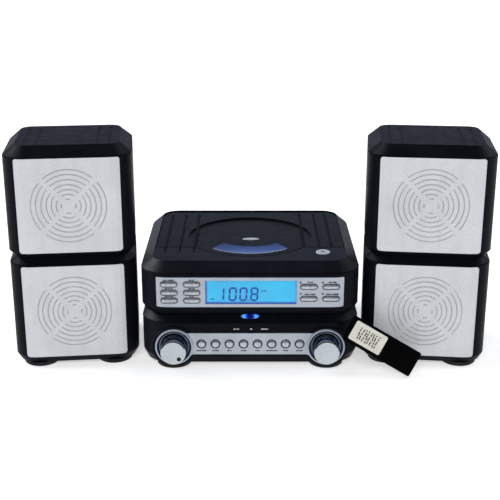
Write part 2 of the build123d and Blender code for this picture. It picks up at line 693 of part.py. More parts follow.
with BuildPart() as cd_lid:
    extrude(lid_outline.sketch.moved(Location((0, 0, 0.3))), amount=Z_TOP - Z_LEDGE - 0.3)
    chamfer(cd_lid.edges().group_by(Axis.Z)[-1], 0.6)
    # back edge cut at a slant, so that it clears its seat as the lid stands up
    with BuildSketch(Plane(origin=(-110, FRONT_Y + HINGE_Y, HINGE_Z), x_dir=(0, 1, 0), z_dir=(1, 0, 0))) as s:
        with BuildLine():
            Polyline((-3.8, 4.3), (2.6, 1.7), (6, 1.7), (6, 6), (-3.8, 6), close=True)
        make_face()
    extrude(s.sketch, amount=220, mode=Mode.SUBTRACT)
    # notches for the case's knuckles
    with BuildSketch(Plane((0, FRONT_Y, 113.0))) as s:
        with Locations(*[(lx + 2, 187.4) for lx in LUGS]):
            Rectangle(4.8, 8)
    extrude(s.sketch, amount=4, mode=Mode.SUBTRACT)
    with BuildSketch(Plane((0, FRONT_Y, 111.5))) as s:
        with Locations((0, DISC_Y)):
            Circle(68.7)
    extrude(s.sketch, amount=2.5)
    with BuildSketch(Plane((0, FRONT_Y, 114.0))) as s:
        with Locations((0, DISC_Y)):
            Circle(DISH_R)
    extrude(s.sketch, amount=4, mode=Mode.SUBTRACT)
    add(rib_cutters.part, mode=Mode.SUBTRACT)
    extrude(window_outline.sketch, amount=4, mode=Mode.SUBTRACT)
    # hinge arms with their pins
    with BuildSketch(Plane(origin=(0, FRONT_Y + HINGE_Y, HINGE_Z), x_dir=(0, 1, 0), z_dir=(1, 0, 0))) as s:
        Circle(2.3)
        with Locations((-2.0, 0.8)):
            Rectangle(8.0, 1.8)
        with Locations((-1.2, 0.2)):
            Rectangle(2.4, 4.0)
    for arm_x in (-82.0, 72.0):
        extrude(s.sketch.moved(Location((arm_x, 0, 0))), amount=10)
    with BuildSketch(Plane(origin=(0, FRONT_Y + HINGE_Y, HINGE_Z), x_dir=(0, 1, 0), z_dir=(1, 0, 0))) as s:
        Circle(1.5)
    for pin_x in (-86.5, 67.5):
        extrude(s.sketch.moved(Location((pin_x, 0, 0))), amount=19)
    # catch
    with BuildSketch(Plane((0, FRONT_Y, 105.5))) as s:
        with Locations((90, 59.5)):
            Rectangle(5, 2.4)
    extrude(s.sketch, amount=8.0)
save(cd_lid, "cd_lid")

with BuildPart() as lid_window:
    extrude(window_outline.sketch.moved(Location((0, 0, 0.6))), amount=1.8)
save(lid_window, "lid_window")

with BuildPart() as open_button:
    with BuildSketch(Plane((0, FRONT_Y, 110.0))) as s:
        with Locations((77.7, 39.7)):
            Circle(7.7)
    extrude(s.sketch, amount=6.5)
    fillet(open_button.edges().group_by(Axis.Z)[-1], 0.8)
    with BuildSketch(Plane((0, FRONT_Y, 108.2))) as s:
        with Locations((77.7, 39.7)):
            Circle(9.6)
    extrude(s.sketch, amount=1.8)
    with BuildSketch(Plane((0, FRONT_Y, 104.2))) as s:
        with Locations((77.7, 39.7)):
            Circle(2.0)
    extrude(s.sketch, amount=4.0)
save(open_button, "open_button")

# ================================================================ loudspeakers
for side, sx, toe in (("left", -SPK_X, radians(SPK_TOE)), ("right", SPK_X, -radians(SPK_TOE))):
    at = (sx, FRONT_Y + SPK_Y, 0)
    GROUND = Plane(origin=at, x_dir=(cos(toe), sin(toe), 0), z_dir=(0, 0, 1))
    FACE = Plane(origin=at, x_dir=(cos(toe), sin(toe), 0), z_dir=(sin(toe), -cos(toe), 0))

    def sdeck(z0, z1, i0=0.0, i1=None, mode=Mode.ADD):
        deck(SPK_W, SPK_D, SPK_R, 0, z0, z1, i0, i1, base=GROUND, mode=mode)

    # the two grille skins wrap a little round the front corners
    with BuildPart() as skins:
        for z_a, z_b in GRILLE_Z:
            sdeck(z_a - 1, z_b + 1, -0.3)
            sdeck(z_a - 2, z_b + 2, 1.5, mode=Mode.SUBTRACT)
        with BuildSketch(FACE.offset(3)) as s:
            for z_a, z_b in GRILLE_Z:
                with Locations((0, (z_a + z_b) / 2)):
                    RectangleRounded(GRILLE_W, z_b - z_a, 3.0)
        extrude(s.sketch, amount=-14, mode=Mode.INTERSECT)
    save(skins, f"speaker_{side}_grilles")

    with BuildPart() as skin_pocket:
        for z_a, z_b in GRILLE_Z:
            sdeck(z_a - 1, z_b + 1, -1.0)
            sdeck(z_a - 2, z_b + 2, 1.5, mode=Mode.SUBTRACT)
        with BuildSketch(FACE.offset(3)) as s:
            for z_a, z_b in GRILLE_Z:
                with Locations((0, (z_a + z_b) / 2)):
                    RectangleRounded(GRILLE_W + 0.4, z_b - z_a + 0.4, 3.2)
        extrude(s.sketch, amount=-14, mode=Mode.INTERSECT)

    with BuildPart() as cabinet:
        z = SPK_Z
        sdeck(FOOT_H, z["belt"], 4.0, 0.0)
        sdeck(z["belt"], z["seam1"] - GROOVE)
        sdeck(z["seam1"] - GROOVE, z["seam1"], 1.1)
        sdeck(z["seam1"], z["waist"], 0.5, 9.5)
        sdeck(z["waist"], z["over"], 4.5, 0.0)
        sdeck(z["over"], z["seam2"] - GROOVE)
        sdeck(z["seam2"] - GROOVE, z["seam2"], 1.1)
        sdeck(z["seam2"], z["top"], 0.5, HIP_IN)
        # two chambers
        sdeck(12.0, 110.0, SPK_WALL, mode=Mode.SUBTRACT)
        sdeck(130.0, 225.0, SPK_WALL, mode=Mode.SUBTRACT)
        sdeck(225.0, 233.0, SPK_WALL, 14.0, mode=Mode.SUBTRACT)
        # sound openings, grille seats
        with BuildSketch(FACE.offset(1)) as s:
            with Locations(*[(0, dz) for dz in DRIVER_Z]):
                Circle(35.5)
        extrude(s.sketch, amount=-8, mode=Mode.SUBTRACT)
        add(skin_pocket.part, mode=Mode.SUBTRACT)
        # recess for the wire terminals on the back
        with BuildSketch(FACE.offset(-SPK_D - 1)) as s:
            with Locations((0, 46)):
                RectangleRounded(52, 26, 3)
        extrude(s.sketch, amount=3.6, mode=Mode.SUBTRACT)
        # faint ribs in the top
        with BuildSketch(FACE.offset(-14)) as s:
            with Locations(*[(rx, z["top"] - 0.7 + 2.6) for rx in (-43, -31, 31, 43)]):
                Circle(2.6)
        extrude(s.sketch, amount=-76, mode=Mode.SUBTRACT)
    save(cabinet, f"speaker_{side}_cabinet")

    with BuildPart() as drivers:
        for dz in DRIVER_Z:
            with BuildSketch(FACE.offset(-5.0)) as s:
                with Locations((0, dz)):
                    Circle(39.5)
            extrude(s.sketch, amount=-2)
            with BuildSketch(FACE.offset(-7.0)) as s:
                with Locations((0, dz)):
                    Circle(37.5)
            extrude(s.sketch, amount=-19, taper=42.0)
            with BuildSketch(FACE.offset(-24.0)) as s:
                with Locations((0, dz)):
                    Circle(23.0)
            extrude(s.sketch, amount=-14)
        for dz in DRIVER_Z:
            with BuildSketch(FACE.offset(-4.9)) as s:
                with Locations((0, dz)):
                    Circle(34.6)
            extrude(s.sketch, amount=-18.5, taper=42.0, mode=Mode.SUBTRACT)
    save(drivers, f"speaker_{side}_drivers")

    with BuildPart() as cones:
        for dz in DRIVER_Z:
            with BuildSketch(FACE.offset(-4.6)) as s:
                with Locations((0, dz)):
                    Circle(33.0)
            extrude(s.sketch, amount=-13.5, taper=56.0)
        for dz in DRIVER_Z:
            with BuildSketch(FACE.offset(-4.5)) as s:
                with Locations((0, dz)):
                    Circle(31.6)
            extrude(s.sketch, amount=-12.2, taper=56.0, mode=Mode.SUBTRACT)
        for dz in DRIVER_Z:
            with BuildSketch(FACE.offset(-17.0)) as s:
                with Locations((0, dz)):
                    Circle(9.0)
            extrude(s.sketch, amount=-3.5)
    save(cones, f"speaker_{side}_cones")

    with BuildPart() as feet:
        with BuildSketch(GROUND) as s:
            with Locations((-39, 20.5), (39, 20.5), (-39, 96.5), (39, 96.5)):
                Circle(FOOT_R)
        extrude(s.sketch, amount=FOOT_H)
        chamfer(feet.edges().group_by(Axis.Z)[0], 0.8)
    save(feet, f"speaker_{side}_feet")

# ================================================================ card remote
lean, roll = radians(REMOTE_LEAN), radians(REMOTE_ROLL)
e2 = Vector(0, sin(lean), cos(lean))
face_n = Vector(0, -cos(lean), sin(lean))
long_dir = Vector(1, 0, 0) * cos(roll) - e2 * sin(roll)
CARD = Plane(origin=(REMOTE_AT[0], FRONT_Y + REMOTE_AT[1], REMOTE_AT[2]), x_dir=long_dir, z_dir=face_n)
TRAY_X = 24.0

with BuildPart() as remote_case:
    with BuildSketch(CARD) as s:
        RectangleRounded(REMOTE_L, REMOTE_W, 2.0)
    extrude(s.sketch, amount=-REMOTE_T)
    # recess for the keypad
    with BuildSketch(CARD.offset(1)) as s:
        with Locations((-16.6, 0.3)):
            RectangleRounded(36.8, 21.4, 1.8)
    extrude(s.sketch, amount=-1.6, mode=Mode.SUBTRACT)
    # slot for the battery tray, open on the long upper edge
    with BuildSketch(CARD.offset(-2.2)) as s:
        with Locations((TRAY_X, 2.0)):
            Rectangle(24.8, REMOTE_W)
    extrude(s.sketch, amount=-3.8, mode=Mode.SUBTRACT)
save(remote_case, "remote_case")

with BuildPart() as remote_keypad:
    with BuildSketch(CARD.offset(-0.6)) as s:
        with Locations((-16.6, 0.3)):
            RectangleRounded(36.6, 21.2, 1.7)
    extrude(s.sketch, amount=0.8)
save(remote_keypad, "remote_keypad")

with BuildPart() as battery_tray:
    with BuildSketch(CARD.offset(-2.5)) as s:
        with Locations((TRAY_X, 1.25)):
            Rectangle(24.2, REMOTE_W - 3.1)
        with Locations((TRAY_X, 0.8)):
            Circle(10.2, mode=Mode.SUBTRACT)
    extrude(s.sketch, amount=-3.2)
    with BuildSketch(CARD.offset(-5.7)) as s:
        with Locations((TRAY_X, 0.8)):
            Circle(10.4)
    extrude(s.sketch, amount=0.8)
save(battery_tray, "battery_tray")
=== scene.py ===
import json
import math

import bmesh
import bpy
from mathutils import Matrix, Vector
from mathutils.geometry import delaunay_2d_cdt

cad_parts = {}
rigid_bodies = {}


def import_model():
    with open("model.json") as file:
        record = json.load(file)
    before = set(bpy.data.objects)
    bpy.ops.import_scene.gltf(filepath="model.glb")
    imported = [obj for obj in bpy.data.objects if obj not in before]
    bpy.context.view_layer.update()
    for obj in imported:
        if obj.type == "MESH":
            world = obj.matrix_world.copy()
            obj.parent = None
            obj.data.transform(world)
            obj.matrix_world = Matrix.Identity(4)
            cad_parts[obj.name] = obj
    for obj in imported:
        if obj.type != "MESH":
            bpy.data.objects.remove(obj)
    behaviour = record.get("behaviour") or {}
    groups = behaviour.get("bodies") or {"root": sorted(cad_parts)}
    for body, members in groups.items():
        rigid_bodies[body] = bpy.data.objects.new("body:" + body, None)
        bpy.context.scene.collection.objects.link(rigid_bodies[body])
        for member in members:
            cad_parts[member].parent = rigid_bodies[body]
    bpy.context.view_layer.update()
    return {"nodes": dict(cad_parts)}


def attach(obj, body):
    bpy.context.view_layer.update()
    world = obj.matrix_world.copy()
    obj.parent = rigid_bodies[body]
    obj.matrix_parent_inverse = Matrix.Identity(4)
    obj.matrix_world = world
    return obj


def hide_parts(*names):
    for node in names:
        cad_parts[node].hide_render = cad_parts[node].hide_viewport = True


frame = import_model()
NODES = frame["nodes"]

# ------------------------------------------------------------------ the object's own dimensions, mm
FRONT_Y = -89.3
RING_X, RING_Z = 80.0, 24.6
PILLS = {
    "key_clock_up": (-84.0, 94.3), "key_clock_mid": (-84.0, 85.1), "key_clock_low": (-84.0, 76.5),
    "key_timer_up": (-60.5, 94.3), "key_timer_mid": (-60.5, 85.1), "key_timer_low": (-60.5, 76.5),
    "key_band_up": (61.0, 91.6), "key_band_low": (61.0, 78.4),
    "key_power_up": (84.1, 91.6), "key_power_low": (84.1, 78.4),
}
KEY_X = [-51.2 + 14.79 * i for i in range(8)]
KEY_Z = 27.5
SPK_X, SPK_Y, SPK_TOE = 183.3, 4.2, 6.0
SPK_W, SPK_D, SPK_R = 131.0, 117.0, 24.0
GRILLE_W = 105.4
GRILLE_Z = [(11.8, 112.8), (127.6, 226.9)]
DRIVER_Z = [62.6, 177.4]


def P(x, y, z):
    """A point from the main unit's front plane, y back, in metres in the row frame."""
    return Vector((x, FRONT_Y + y, z)) / 1000.0


class Plane2:
    """A flat working plane: p(u, v, n) in mm gives a point in metres."""

    def __init__(self, o, u, v, n):
        self.o, self.u, self.v, self.n = o, Vector(u), Vector(v), Vector(n)

    def p(self, a, b, c=0.0):
        return self.o + (self.u * a + self.v * b + self.n * c) / 1000.0


FRONT = Plane2(P(0, 0, 0), (1, 0, 0), (0, 0, 1), (0, -1, 0))
BACK = Plane2(P(0, 205, 0), (-1, 0, 0), (0, 0, 1), (0, 1, 0))
TOP = Plane2(P(0, 0, 0), (1, 0, 0), (0, 1, 0), (0, 0, 1))


def speaker_planes(side):
    s = -1 if side == "left" else 1
    t = math.radians(SPK_TOE) * -s
    o = Vector((s * SPK_X, FRONT_Y + SPK_Y, 0)) / 1000.0
    u = Vector((math.cos(t), math.sin(t), 0))
    n = Vector((math.sin(t), -math.cos(t), 0))
    face = Plane2(o, u, (0, 0, 1), n)
    rear = Plane2(o - n * SPK_D / 1000.0, -u, (0, 0, 1), -n)
    return face, rear


LEAN, ROLL = math.radians(19), math.radians(30)
_e2 = Vector((0, math.sin(LEAN), math.cos(LEAN)))
_fn = Vector((0, -math.cos(LEAN), math.sin(LEAN)))
_ld = Vector((1, 0, 0)) * math.cos(ROLL) - _e2 * math.sin(ROLL)
CARD = Plane2(Vector((136.7, FRONT_Y - 18.0, 32.7)) / 1000.0, _ld, _fn.cross(_ld), _fn)


# ------------------------------------------------------------------ materials
def srgb(r, g, b):
    def f(c):
        c /= 255.0
        return c / 12.92 if c <= 0.04045 else ((c + 0.055) / 1.055) ** 2.4
    return (f(r), f(g), f(b), 1.0)


class Mat:
    """A node material under way. Positions are the object's own, in metres."""

    def __init__(self, name):
        self.m = bpy.data.materials.new(name)
        self.m.use_nodes = True
        self.t = self.m.node_tree
        self.b = self.t.nodes["Principled BSDF"]
        self.tc = self.t.nodes.new("ShaderNodeTexCoord")
        self.pos = self.tc.outputs["Object"]

    def node(self, kind, **kw):
        n = self.t.nodes.new(kind)
        for k, v in kw.items():
            setattr(n, k, v)
        return n

    def link(self, a, b):
        self.t.links.new(a, b)

    def set(self, **kw):
        names = {"rough": "Roughness", "metal": "Metallic", "spec": "Specular IOR Level", "coat": "Coat Weight",
                 "coat_rough": "Coat Roughness", "trans": "Transmission Weight", "ior": "IOR",
                 "em": "Emission Strength", "sheen": "Sheen Weight", "aniso": "Anisotropic"}
        for k, v in kw.items():
            self.b.inputs[names[k]].default_value = v
        return self

    def noise(self, scale, detail=3.0, rough=0.55, stretch=None):
        n = self.node("ShaderNodeTexNoise")
        n.inputs["Scale"].default_value = scale
        n.inputs["Detail"].default_value = detail
        n.inputs["Roughness"].default_value = rough
        src = self.pos
        if stretch:
            mp = self.node("ShaderNodeMapping")
            mp.inputs["Scale"].default_value = stretch
            self.link(self.pos, mp.inputs["Vector"])
            src = mp.outputs["Vector"]
        self.link(src, n.inputs["Vector"])
        return n.outputs["Fac"]

    def ramp(self, fac, stops):
        r = self.node("ShaderNodeValToRGB")
        e = r.color_ramp.elements
        while len(e) < len(stops):
            e.new(0.5)
        for el, (p, c) in zip(e, stops):
            el.position, el.color = p, c
        self.link(fac, r.inputs["Fac"])
        return r.outputs["Color"]

    def mix(self, fac, a, b, blend="MIX"):
        m = self.node("ShaderNodeMix", data_type="RGBA", blend_type=blend)
        for sock, v in ((m.inputs["Factor"], fac), (m.inputs["A"], a), (m.inputs["B"], b)):
            if isinstance(v, bpy.types.NodeSocket):
                self.link(v, sock)
            else:
                sock.default_value = v
        # the colour sockets are the last A and B of the node
        return m

    def mixc(self, fac, a, b, blend="MIX"):
        m = self.node("ShaderNodeMix", data_type="RGBA", blend_type=blend)
        f, ca, cb = m.inputs[0], m.inputs[6], m.inputs[7]
        for sock, v in ((f, fac), (ca, a), (cb, b)):
            if isinstance(v, bpy.types.NodeSocket):
                self.link(v, sock)
            else:
                sock.default_value = v
        return m.outputs[2]

    def remap(self, fac, a, b, lo, hi):
        m = self.node("ShaderNodeMapRange")
        m.inputs["From Min"].default_value = a
        m.inputs["From Max"].default_value = b
        m.inputs["To Min"].default_value = lo
        m.inputs["To Max"].default_value = hi
        self.link(fac, m.inputs["Value"])
        return m.outputs["Result"]

    def math(self, op, a, b=0.0):
        m = self.node("ShaderNodeMath", operation=op)
        for sock, v in ((m.inputs[0], a), (m.inputs[1], b)):
            if isinstance(v, bpy.types.NodeSocket):
                self.link(v, sock)
            else:
                sock.default_value = v
        return m.outputs[0]

    def xyz(self):
        s = self.node("ShaderNodeSeparateXYZ")
        self.link(self.pos, s.inputs["Vector"])
        return s.outputs

    def color(self, c):
        self.link(c, self.b.inputs["Base Color"])
        return self

    def rough(self, fac, lo, hi):
        self.link(self.remap(fac, 0.3, 0.7, lo, hi), self.b.inputs["Roughness"])
        return self

    def bump(self, height, dist, strength=1.0, edge=0.0):
        b = self.node("ShaderNodeBump")
        b.inputs["Strength"].default_value = strength
        b.inputs["Distance"].default_value = dist
        self.link(height, b.inputs["Height"])
        if edge:
            bv = self.node("ShaderNodeBevel", samples=4)
            bv.inputs["Radius"].default_value = edge
            self.link(bv.outputs["Normal"], b.inputs["Normal"])
        self.link(b.outputs["Normal"], self.b.inputs["Normal"])
        return self


def plastic(name, dark, light, rough, grain=2600.0, grain_h=0.00003, spec=0.35, edge=0.0004, coat=0.0):
    m = Mat(name)
    big = m.noise(34.0, 4.0)
    m.color(m.ramp(big, [(0.35, dark), (0.65, light)]))
    m.rough(m.noise(120.0, 3.0), *rough)
    m.bump(m.noise(grain, 2.0), grain_h, 0.6, edge)
    m.set(spec=spec, coat=coat, coat_rough=0.12)
    return m.m


M = {}
M["casing"] = plastic("casing_charcoal", (0.0026, 0.0033, 0.0056, 1), (0.0039, 0.0048, 0.0078, 1), (0.34, 0.44), spec=0.06)
M["lid"] = plastic("lid_charcoal", (0.0034, 0.0039, 0.0062, 1), (0.0048, 0.0056, 0.0086, 1), (0.33, 0.42), spec=0.1)
M["black_plastic"] = plastic("black_plastic", (0.008, 0.008, 0.009, 1), (0.015, 0.015, 0.017, 1), (0.42, 0.55))
# black gloss of the remote; also used for the dark strips of painted shade in rib grooves and along the lid's seam
M["remote_black"] = plastic("remote_black", (0.0012, 0.0014, 0.0016, 1), (0.0022, 0.0024, 0.0027, 1), (0.30, 0.38), grain_h=0.00001, spec=0.03)
M["foot"] = plastic("foot_rubber", (0.006, 0.006, 0.007, 1), (0.012, 0.012, 0.013, 1), (0.6, 0.75), grain=1500, grain_h=0.00005, spec=0.3)
# dark print; also used for the rings of painted shade round the key holes
M["print_and_gap_shade"] = plastic("print_and_gap_shade", (0.03, 0.03, 0.04, 1), (0.06, 0.06, 0.075, 1), (0.5, 0.6), spec=0.2, edge=0)
# white print; also used for the painted highlight along the lid window's front edge
M["white_print_and_highlight"] = plastic("white_print_and_highlight", (0.45, 0.46, 0.48, 1), (0.6, 0.61, 0.63, 1), (0.5, 0.6), spec=0.2, edge=0)
M["cone"] = plastic("cone_paper", (0.03, 0.03, 0.03, 1), (0.07, 0.07, 0.065, 1), (0.75, 0.9), grain=900, grain_h=0.00012, spec=0.2)
M["red_insert"] = plastic("insert_red", (0.42, 0.02, 0.015, 1), (0.55, 0.03, 0.02, 1), (0.35, 0.45), spec=0.5)
M["white_insert"] = plastic("insert_white", (0.68, 0.67, 0.63, 1), (0.78, 0.77, 0.73, 1), (0.35, 0.45), spec=0.5)
M["cloth"] = plastic("grille_cloth", (0.34, 0.35, 0.37, 1), (0.48, 0.49, 0.51, 1), (0.8, 0.95), grain=1800, grain_h=0.00015, spec=0.1, edge=0)


def metal_panel(name="silver_panel", lift=0, metal=0.35):
    """Silver lacquer with a fine metal-flake sparkle."""
    m = Mat(name)
    big = m.noise(40.0, 4.0)
    fleck = m.noise(2400.0, 2.0, 0.7)
    base = m.ramp(big, [(0.35, srgb(158 + lift, 165 + lift, 176 + lift)), (0.65, srgb(173 + lift, 179 + lift, 189 + lift))])
    c = m.mixc(m.remap(fleck, 0.35, 0.7, 0.0, 0.55), base, srgb(206 + lift, 211 + lift, 219 + lift))
    m.color(c)
    m.rough(fleck, 0.30, 0.42)
    m.bump(fleck, 0.00002, 0.5, 0.0003)
    m.set(metal=metal, spec=0.5)
    return m.m


def key_metal():
    m = Mat("key_metal")
    streak = m.noise(900.0, 3.0, 0.6, (1, 1, 0.15))
    m.color(m.ramp(streak, [(0.3, srgb(168, 173, 182)), (0.7, srgb(214, 217, 222))]))
    m.rough(streak, 0.16, 0.26)
    m.bump(streak, 0.000008, 0.4, 0.0004)
    m.set(metal=0.75)
    return m.m


def chrome(name="chrome", face=(208, 216, 222), rough=(0.08, 0.16)):
    m = Mat(name)
    swirl = m.noise(700.0, 3.0, 0.6)
    big = m.noise(60.0, 2.0)
    m.color(m.ramp(big, [(0.3, srgb(face[0] - 12, face[1] - 12, face[2] - 12)), (0.7, srgb(*face))]))
    m.rough(swirl, *rough)
    m.bump(swirl, 0.000006, 0.4, 0.0003)
    m.set(metal=1.0)
    return m.m


def grille_paint():
    """Painted perforated steel: a close grid of tiny dimples between the open holes, each darkened towards its centre
    with painted shade.
    """
    m = Mat("grille_steel")
    v = m.node("ShaderNodeTexVoronoi", feature="F1")
    v.inputs["Scale"].default_value = 520.0
    v.inputs["Randomness"].default_value = 0.15
    m.link(m.pos, v.inputs["Vector"])
    pit = v.outputs["Distance"]
    big = m.noise(14.0, 3.0)
    fine = m.noise(420.0, 3.0, 0.65)
    base = m.ramp(big, [(0.3, srgb(194, 197, 200)), (0.7, srgb(206, 208, 210))])
    base = m.mixc(m.remap(fine, 0.35, 0.65, 0.0, 0.35), base, srgb(180, 183, 187))
    # painted shade: each dimple darker towards its centre
    c = m.mixc(m.remap(pit, 0.10, 0.34, 0.55, 0.0), base, srgb(160, 163, 168))
    m.color(c)
    m.rough(fine, 0.48, 0.60)
    m.bump(pit, 0.00016, 0.5, 0.0)
    m.set(metal=0.0, spec=0.35)
    return m.m


M["silver_panel"] = metal_panel()
M["key"] = key_metal()
M["button"] = metal_panel("button_silver", 24, 0.1)
M["chrome"] = chrome()
M["grille"] = grille_paint()


def glass_clear():
    m = Mat("clear_window")
    n = m.noise(80.0, 2.0)
    m.color(m.ramp(n, [(0.3, (0.93, 0.97, 1, 1)), (0.7, (1, 1, 1, 1))]))
    m.rough(n, 0.01, 0.03)
    m.set(trans=1.0, ior=1.25, spec=0.5)
    return m.m


def blue_window():
    """Smoked blue see-through plastic of the lid's window, with painted light: a faint glow of its own, lighter
    towards the front edge.
    """
    m = Mat("blue_window")
    s = m.xyz()
    g = m.remap(s["Y"], (FRONT_Y + 42) / 1000, (FRONT_Y + 72) / 1000, 0.0, 1.0)
    swirl = m.noise(60.0, 2.0)
    c = m.ramp(g, [(0.0, srgb(84, 114, 170)), (0.4, srgb(52, 80, 134)), (1.0, srgb(30, 48, 92))])
    c = m.mixc(m.remap(swirl, 0.3, 0.7, 0.0, 0.18), c, srgb(20, 34, 92))
    m.color(c)
    m.rough(swirl, 0.08, 0.16)
    # the window is no lamp: this emission is a painted glow
    m.link(c, m.b.inputs["Emission Color"])
    m.set(em=0.35, trans=0.2, ior=1.3, spec=0.2)
    return m.m


def display_blue():
    """Backlit panel: brightest in the middle, a darker blue rim at its left and bottom."""
    m = Mat("display_backlight")
    s = m.xyz()
    left = m.remap(s["X"], -45.6 / 1000, -43.6 / 1000, 1.0, 0.0)
    low = m.remap(s["Z"], 73.4 / 1000, 75.2 / 1000, 1.0, 0.0)
    right = m.remap(s["X"], 46.6 / 1000, 48.0 / 1000, 0.0, 0.6)
    high = m.remap(s["Z"], 96.7 / 1000, 98.2 / 1000, 0.0, 0.55)
    rim = m.math("MAXIMUM", m.math("MAXIMUM", left, low), m.math("MAXIMUM", right, high))
    glow = m.noise(28.0, 2.0)
    body = m.ramp(glow, [(0.35, srgb(68, 190, 240)), (0.65, srgb(62, 205, 250))])
    c = m.mixc(rim, body, srgb(38, 96, 196))
    m.link(c, m.b.inputs["Emission Color"])
    m.color(m.mixc(0.75, c, (0.01, 0.04, 0.1, 1)))
    m.rough(glow, 0.35, 0.5)
    m.set(em=0.66, spec=0.1)
    return m.m


def segment_ink():
    m = Mat("display_segments")
    n = m.noise(500.0, 2.0)
    c = m.ramp(n, [(0.3, srgb(14, 58, 132)), (0.7, srgb(20, 74, 150))])
    m.color(c)
    m.link(c, m.b.inputs["Emission Color"])
    m.rough(n, 0.4, 0.5)
    m.set(em=0.55, spec=0.1)
    return m.m


def status_blue():
    """Oval lens lit from its two ends, dark in the middle."""
    m = Mat("status_lens")
    s = m.xyz()
    ax = m.math("ABSOLUTE", s["X"])
    c = m.ramp(m.remap(ax, 0.0, 9.6 / 1000, 0.0, 1.0), [
        (0.0, srgb(8, 14, 70)), (0.24, srgb(14, 24, 110)), (0.40, srgb(34, 70, 190)), (0.62, srgb(95, 165, 245)),
        (1.0, srgb(60, 120, 230))])
    n = m.noise(300.0, 2.0)
    m.color(m.mixc(m.remap(n, 0.3, 0.7, 0, 0.3), c, (0.0, 0.01, 0.08, 1)))
    m.link(c, m.b.inputs["Emission Color"])
    m.rough(n, 0.1, 0.2)
    m.set(em=0.62, coat=0.3, coat_rough=0.08)
    return m.m


def led(name, rgb):
    m = Mat(name)
    n = m.noise(600.0, 2.0)
    c = m.ramp(n, [(0.3, srgb(*rgb)), (0.7, srgb(*[min(255, v + 30) for v in rgb]))])
    m.color(c)
    m.rough(n, 0.2, 0.3)
    m.set(coat=0.5)
    return m.m


# navy gloss of the dial dishes; also used for the bands of painted shade round the knobs
def dish_gloss():
    m = Mat("dial_dish")
    n = m.noise(90.0, 3.0)
    m.color(m.ramp(n, [(0.3, (0.004, 0.014, 0.052, 1)), (0.7, (0.006, 0.020, 0.072, 1))]))
    m.rough(m.noise(600.0, 2.0), 0.10, 0.20)
    m.bump(m.noise(900.0, 2.0), 0.000006, 0.4)
    m.set(spec=0.3, coat=0.12, coat_rough=0.1)
    return m.m


def keypad():
    m = Mat("keypad_membrane")
    n = m.noise(900.0, 3.0, 0.7)
    big = m.noise(90.0, 3.0)
    c = m.ramp(big, [(0.3, srgb(206, 204, 192)), (0.7, srgb(222, 220, 208))])
    c = m.mixc(m.remap(n, 0.4, 0.7, 0.0, 0.4), c, srgb(188, 186, 174))
    m.color(c)
    m.rough(n, 0.55, 0.7)
    m.bump(n, 0.00004, 0.6, 0.0003)
    m.set(spec=0.3)
    return m.m


def board():
    """Green solder mask with copper tracks and pads."""
    m = Mat("circuit_board")
    br = m.node("ShaderNodeTexBrick")
    br.inputs["Scale"].default_value = 160.0
    br.inputs["Mortar Size"].default_value = 0.035
    br.inputs["Color1"].default_value = (0.012, 0.085, 0.03, 1)
    br.inputs["Color2"].default_value = (0.016, 0.11, 0.04, 1)
    br.inputs["Mortar"].default_value = (0.05, 0.24, 0.08, 1)
    m.link(m.pos, br.inputs["Vector"])
    v = m.node("ShaderNodeTexVoronoi", feature="F1")
    v.inputs["Scale"].default_value = 210.0
    m.link(m.pos, v.inputs["Vector"])
    c = m.mixc(m.remap(v.outputs["Distance"], 0.10, 0.14, 0.9, 0.0), br.outputs["Color"], (0.42, 0.40, 0.34, 1))
    m.color(c)
    m.rough(m.noise(200.0), 0.3, 0.45)
    m.bump(br.outputs["Fac"], 0.00006, 0.5)
    return m.m


def steel(name, a, b, rough, metal=1.0, stretch=(1, 1, 1), grain=600.0):
    m = Mat(name)
    n = m.noise(grain, 3.0, 0.6, stretch)
    m.color(m.ramp(n, [(0.3, a), (0.7, b)]))
    m.rough(n, *rough)
    m.bump(n, 0.00002, 0.5, 0.0003)
    m.set(metal=metal)
    return m.m


M["clear"] = glass_clear()
M["blue_window"] = blue_window()
M["display"] = display_blue()
M["segments"] = segment_ink()
M["status"] = status_blue()
M["led_dark"] = led("led_dark", (40, 44, 60))
M["led_green"] = led("led_green", (30, 110, 60))
M["dish"] = dish_gloss()
M["keypad"] = keypad()
M["board"] = board()
M["steel_sheet"] = steel("steel_sheet_black", (0.02, 0.02, 0.022, 1), (0.045, 0.045, 0.05, 1), (0.4, 0.55), 0.5)
M["socket"] = steel("socket_plated", (0.42, 0.42, 0.40, 1), (0.62, 0.62, 0.60, 1), (0.18, 0.3), 1.0)
M["iron"] = steel("iron_laminations", (0.06, 0.055, 0.05, 1), (0.16, 0.15, 0.14, 1), (0.4, 0.6), 0.8, (1, 6, 0.3), 500)
M["sink"] = steel("heat_sink_alu", (0.42, 0.43, 0.44, 1), (0.62, 0.63, 0.64, 1), (0.28, 0.4), 1.0, (0.1, 1, 1), 800)
M["brass"] = steel("coin_cell_steel", (0.5, 0.49, 0.45, 1), (0.68, 0.67, 0.63, 1), (0.15, 0.28), 1.0)
M["lens_glass"] = led("pickup_lens_blue", (40, 60, 150))

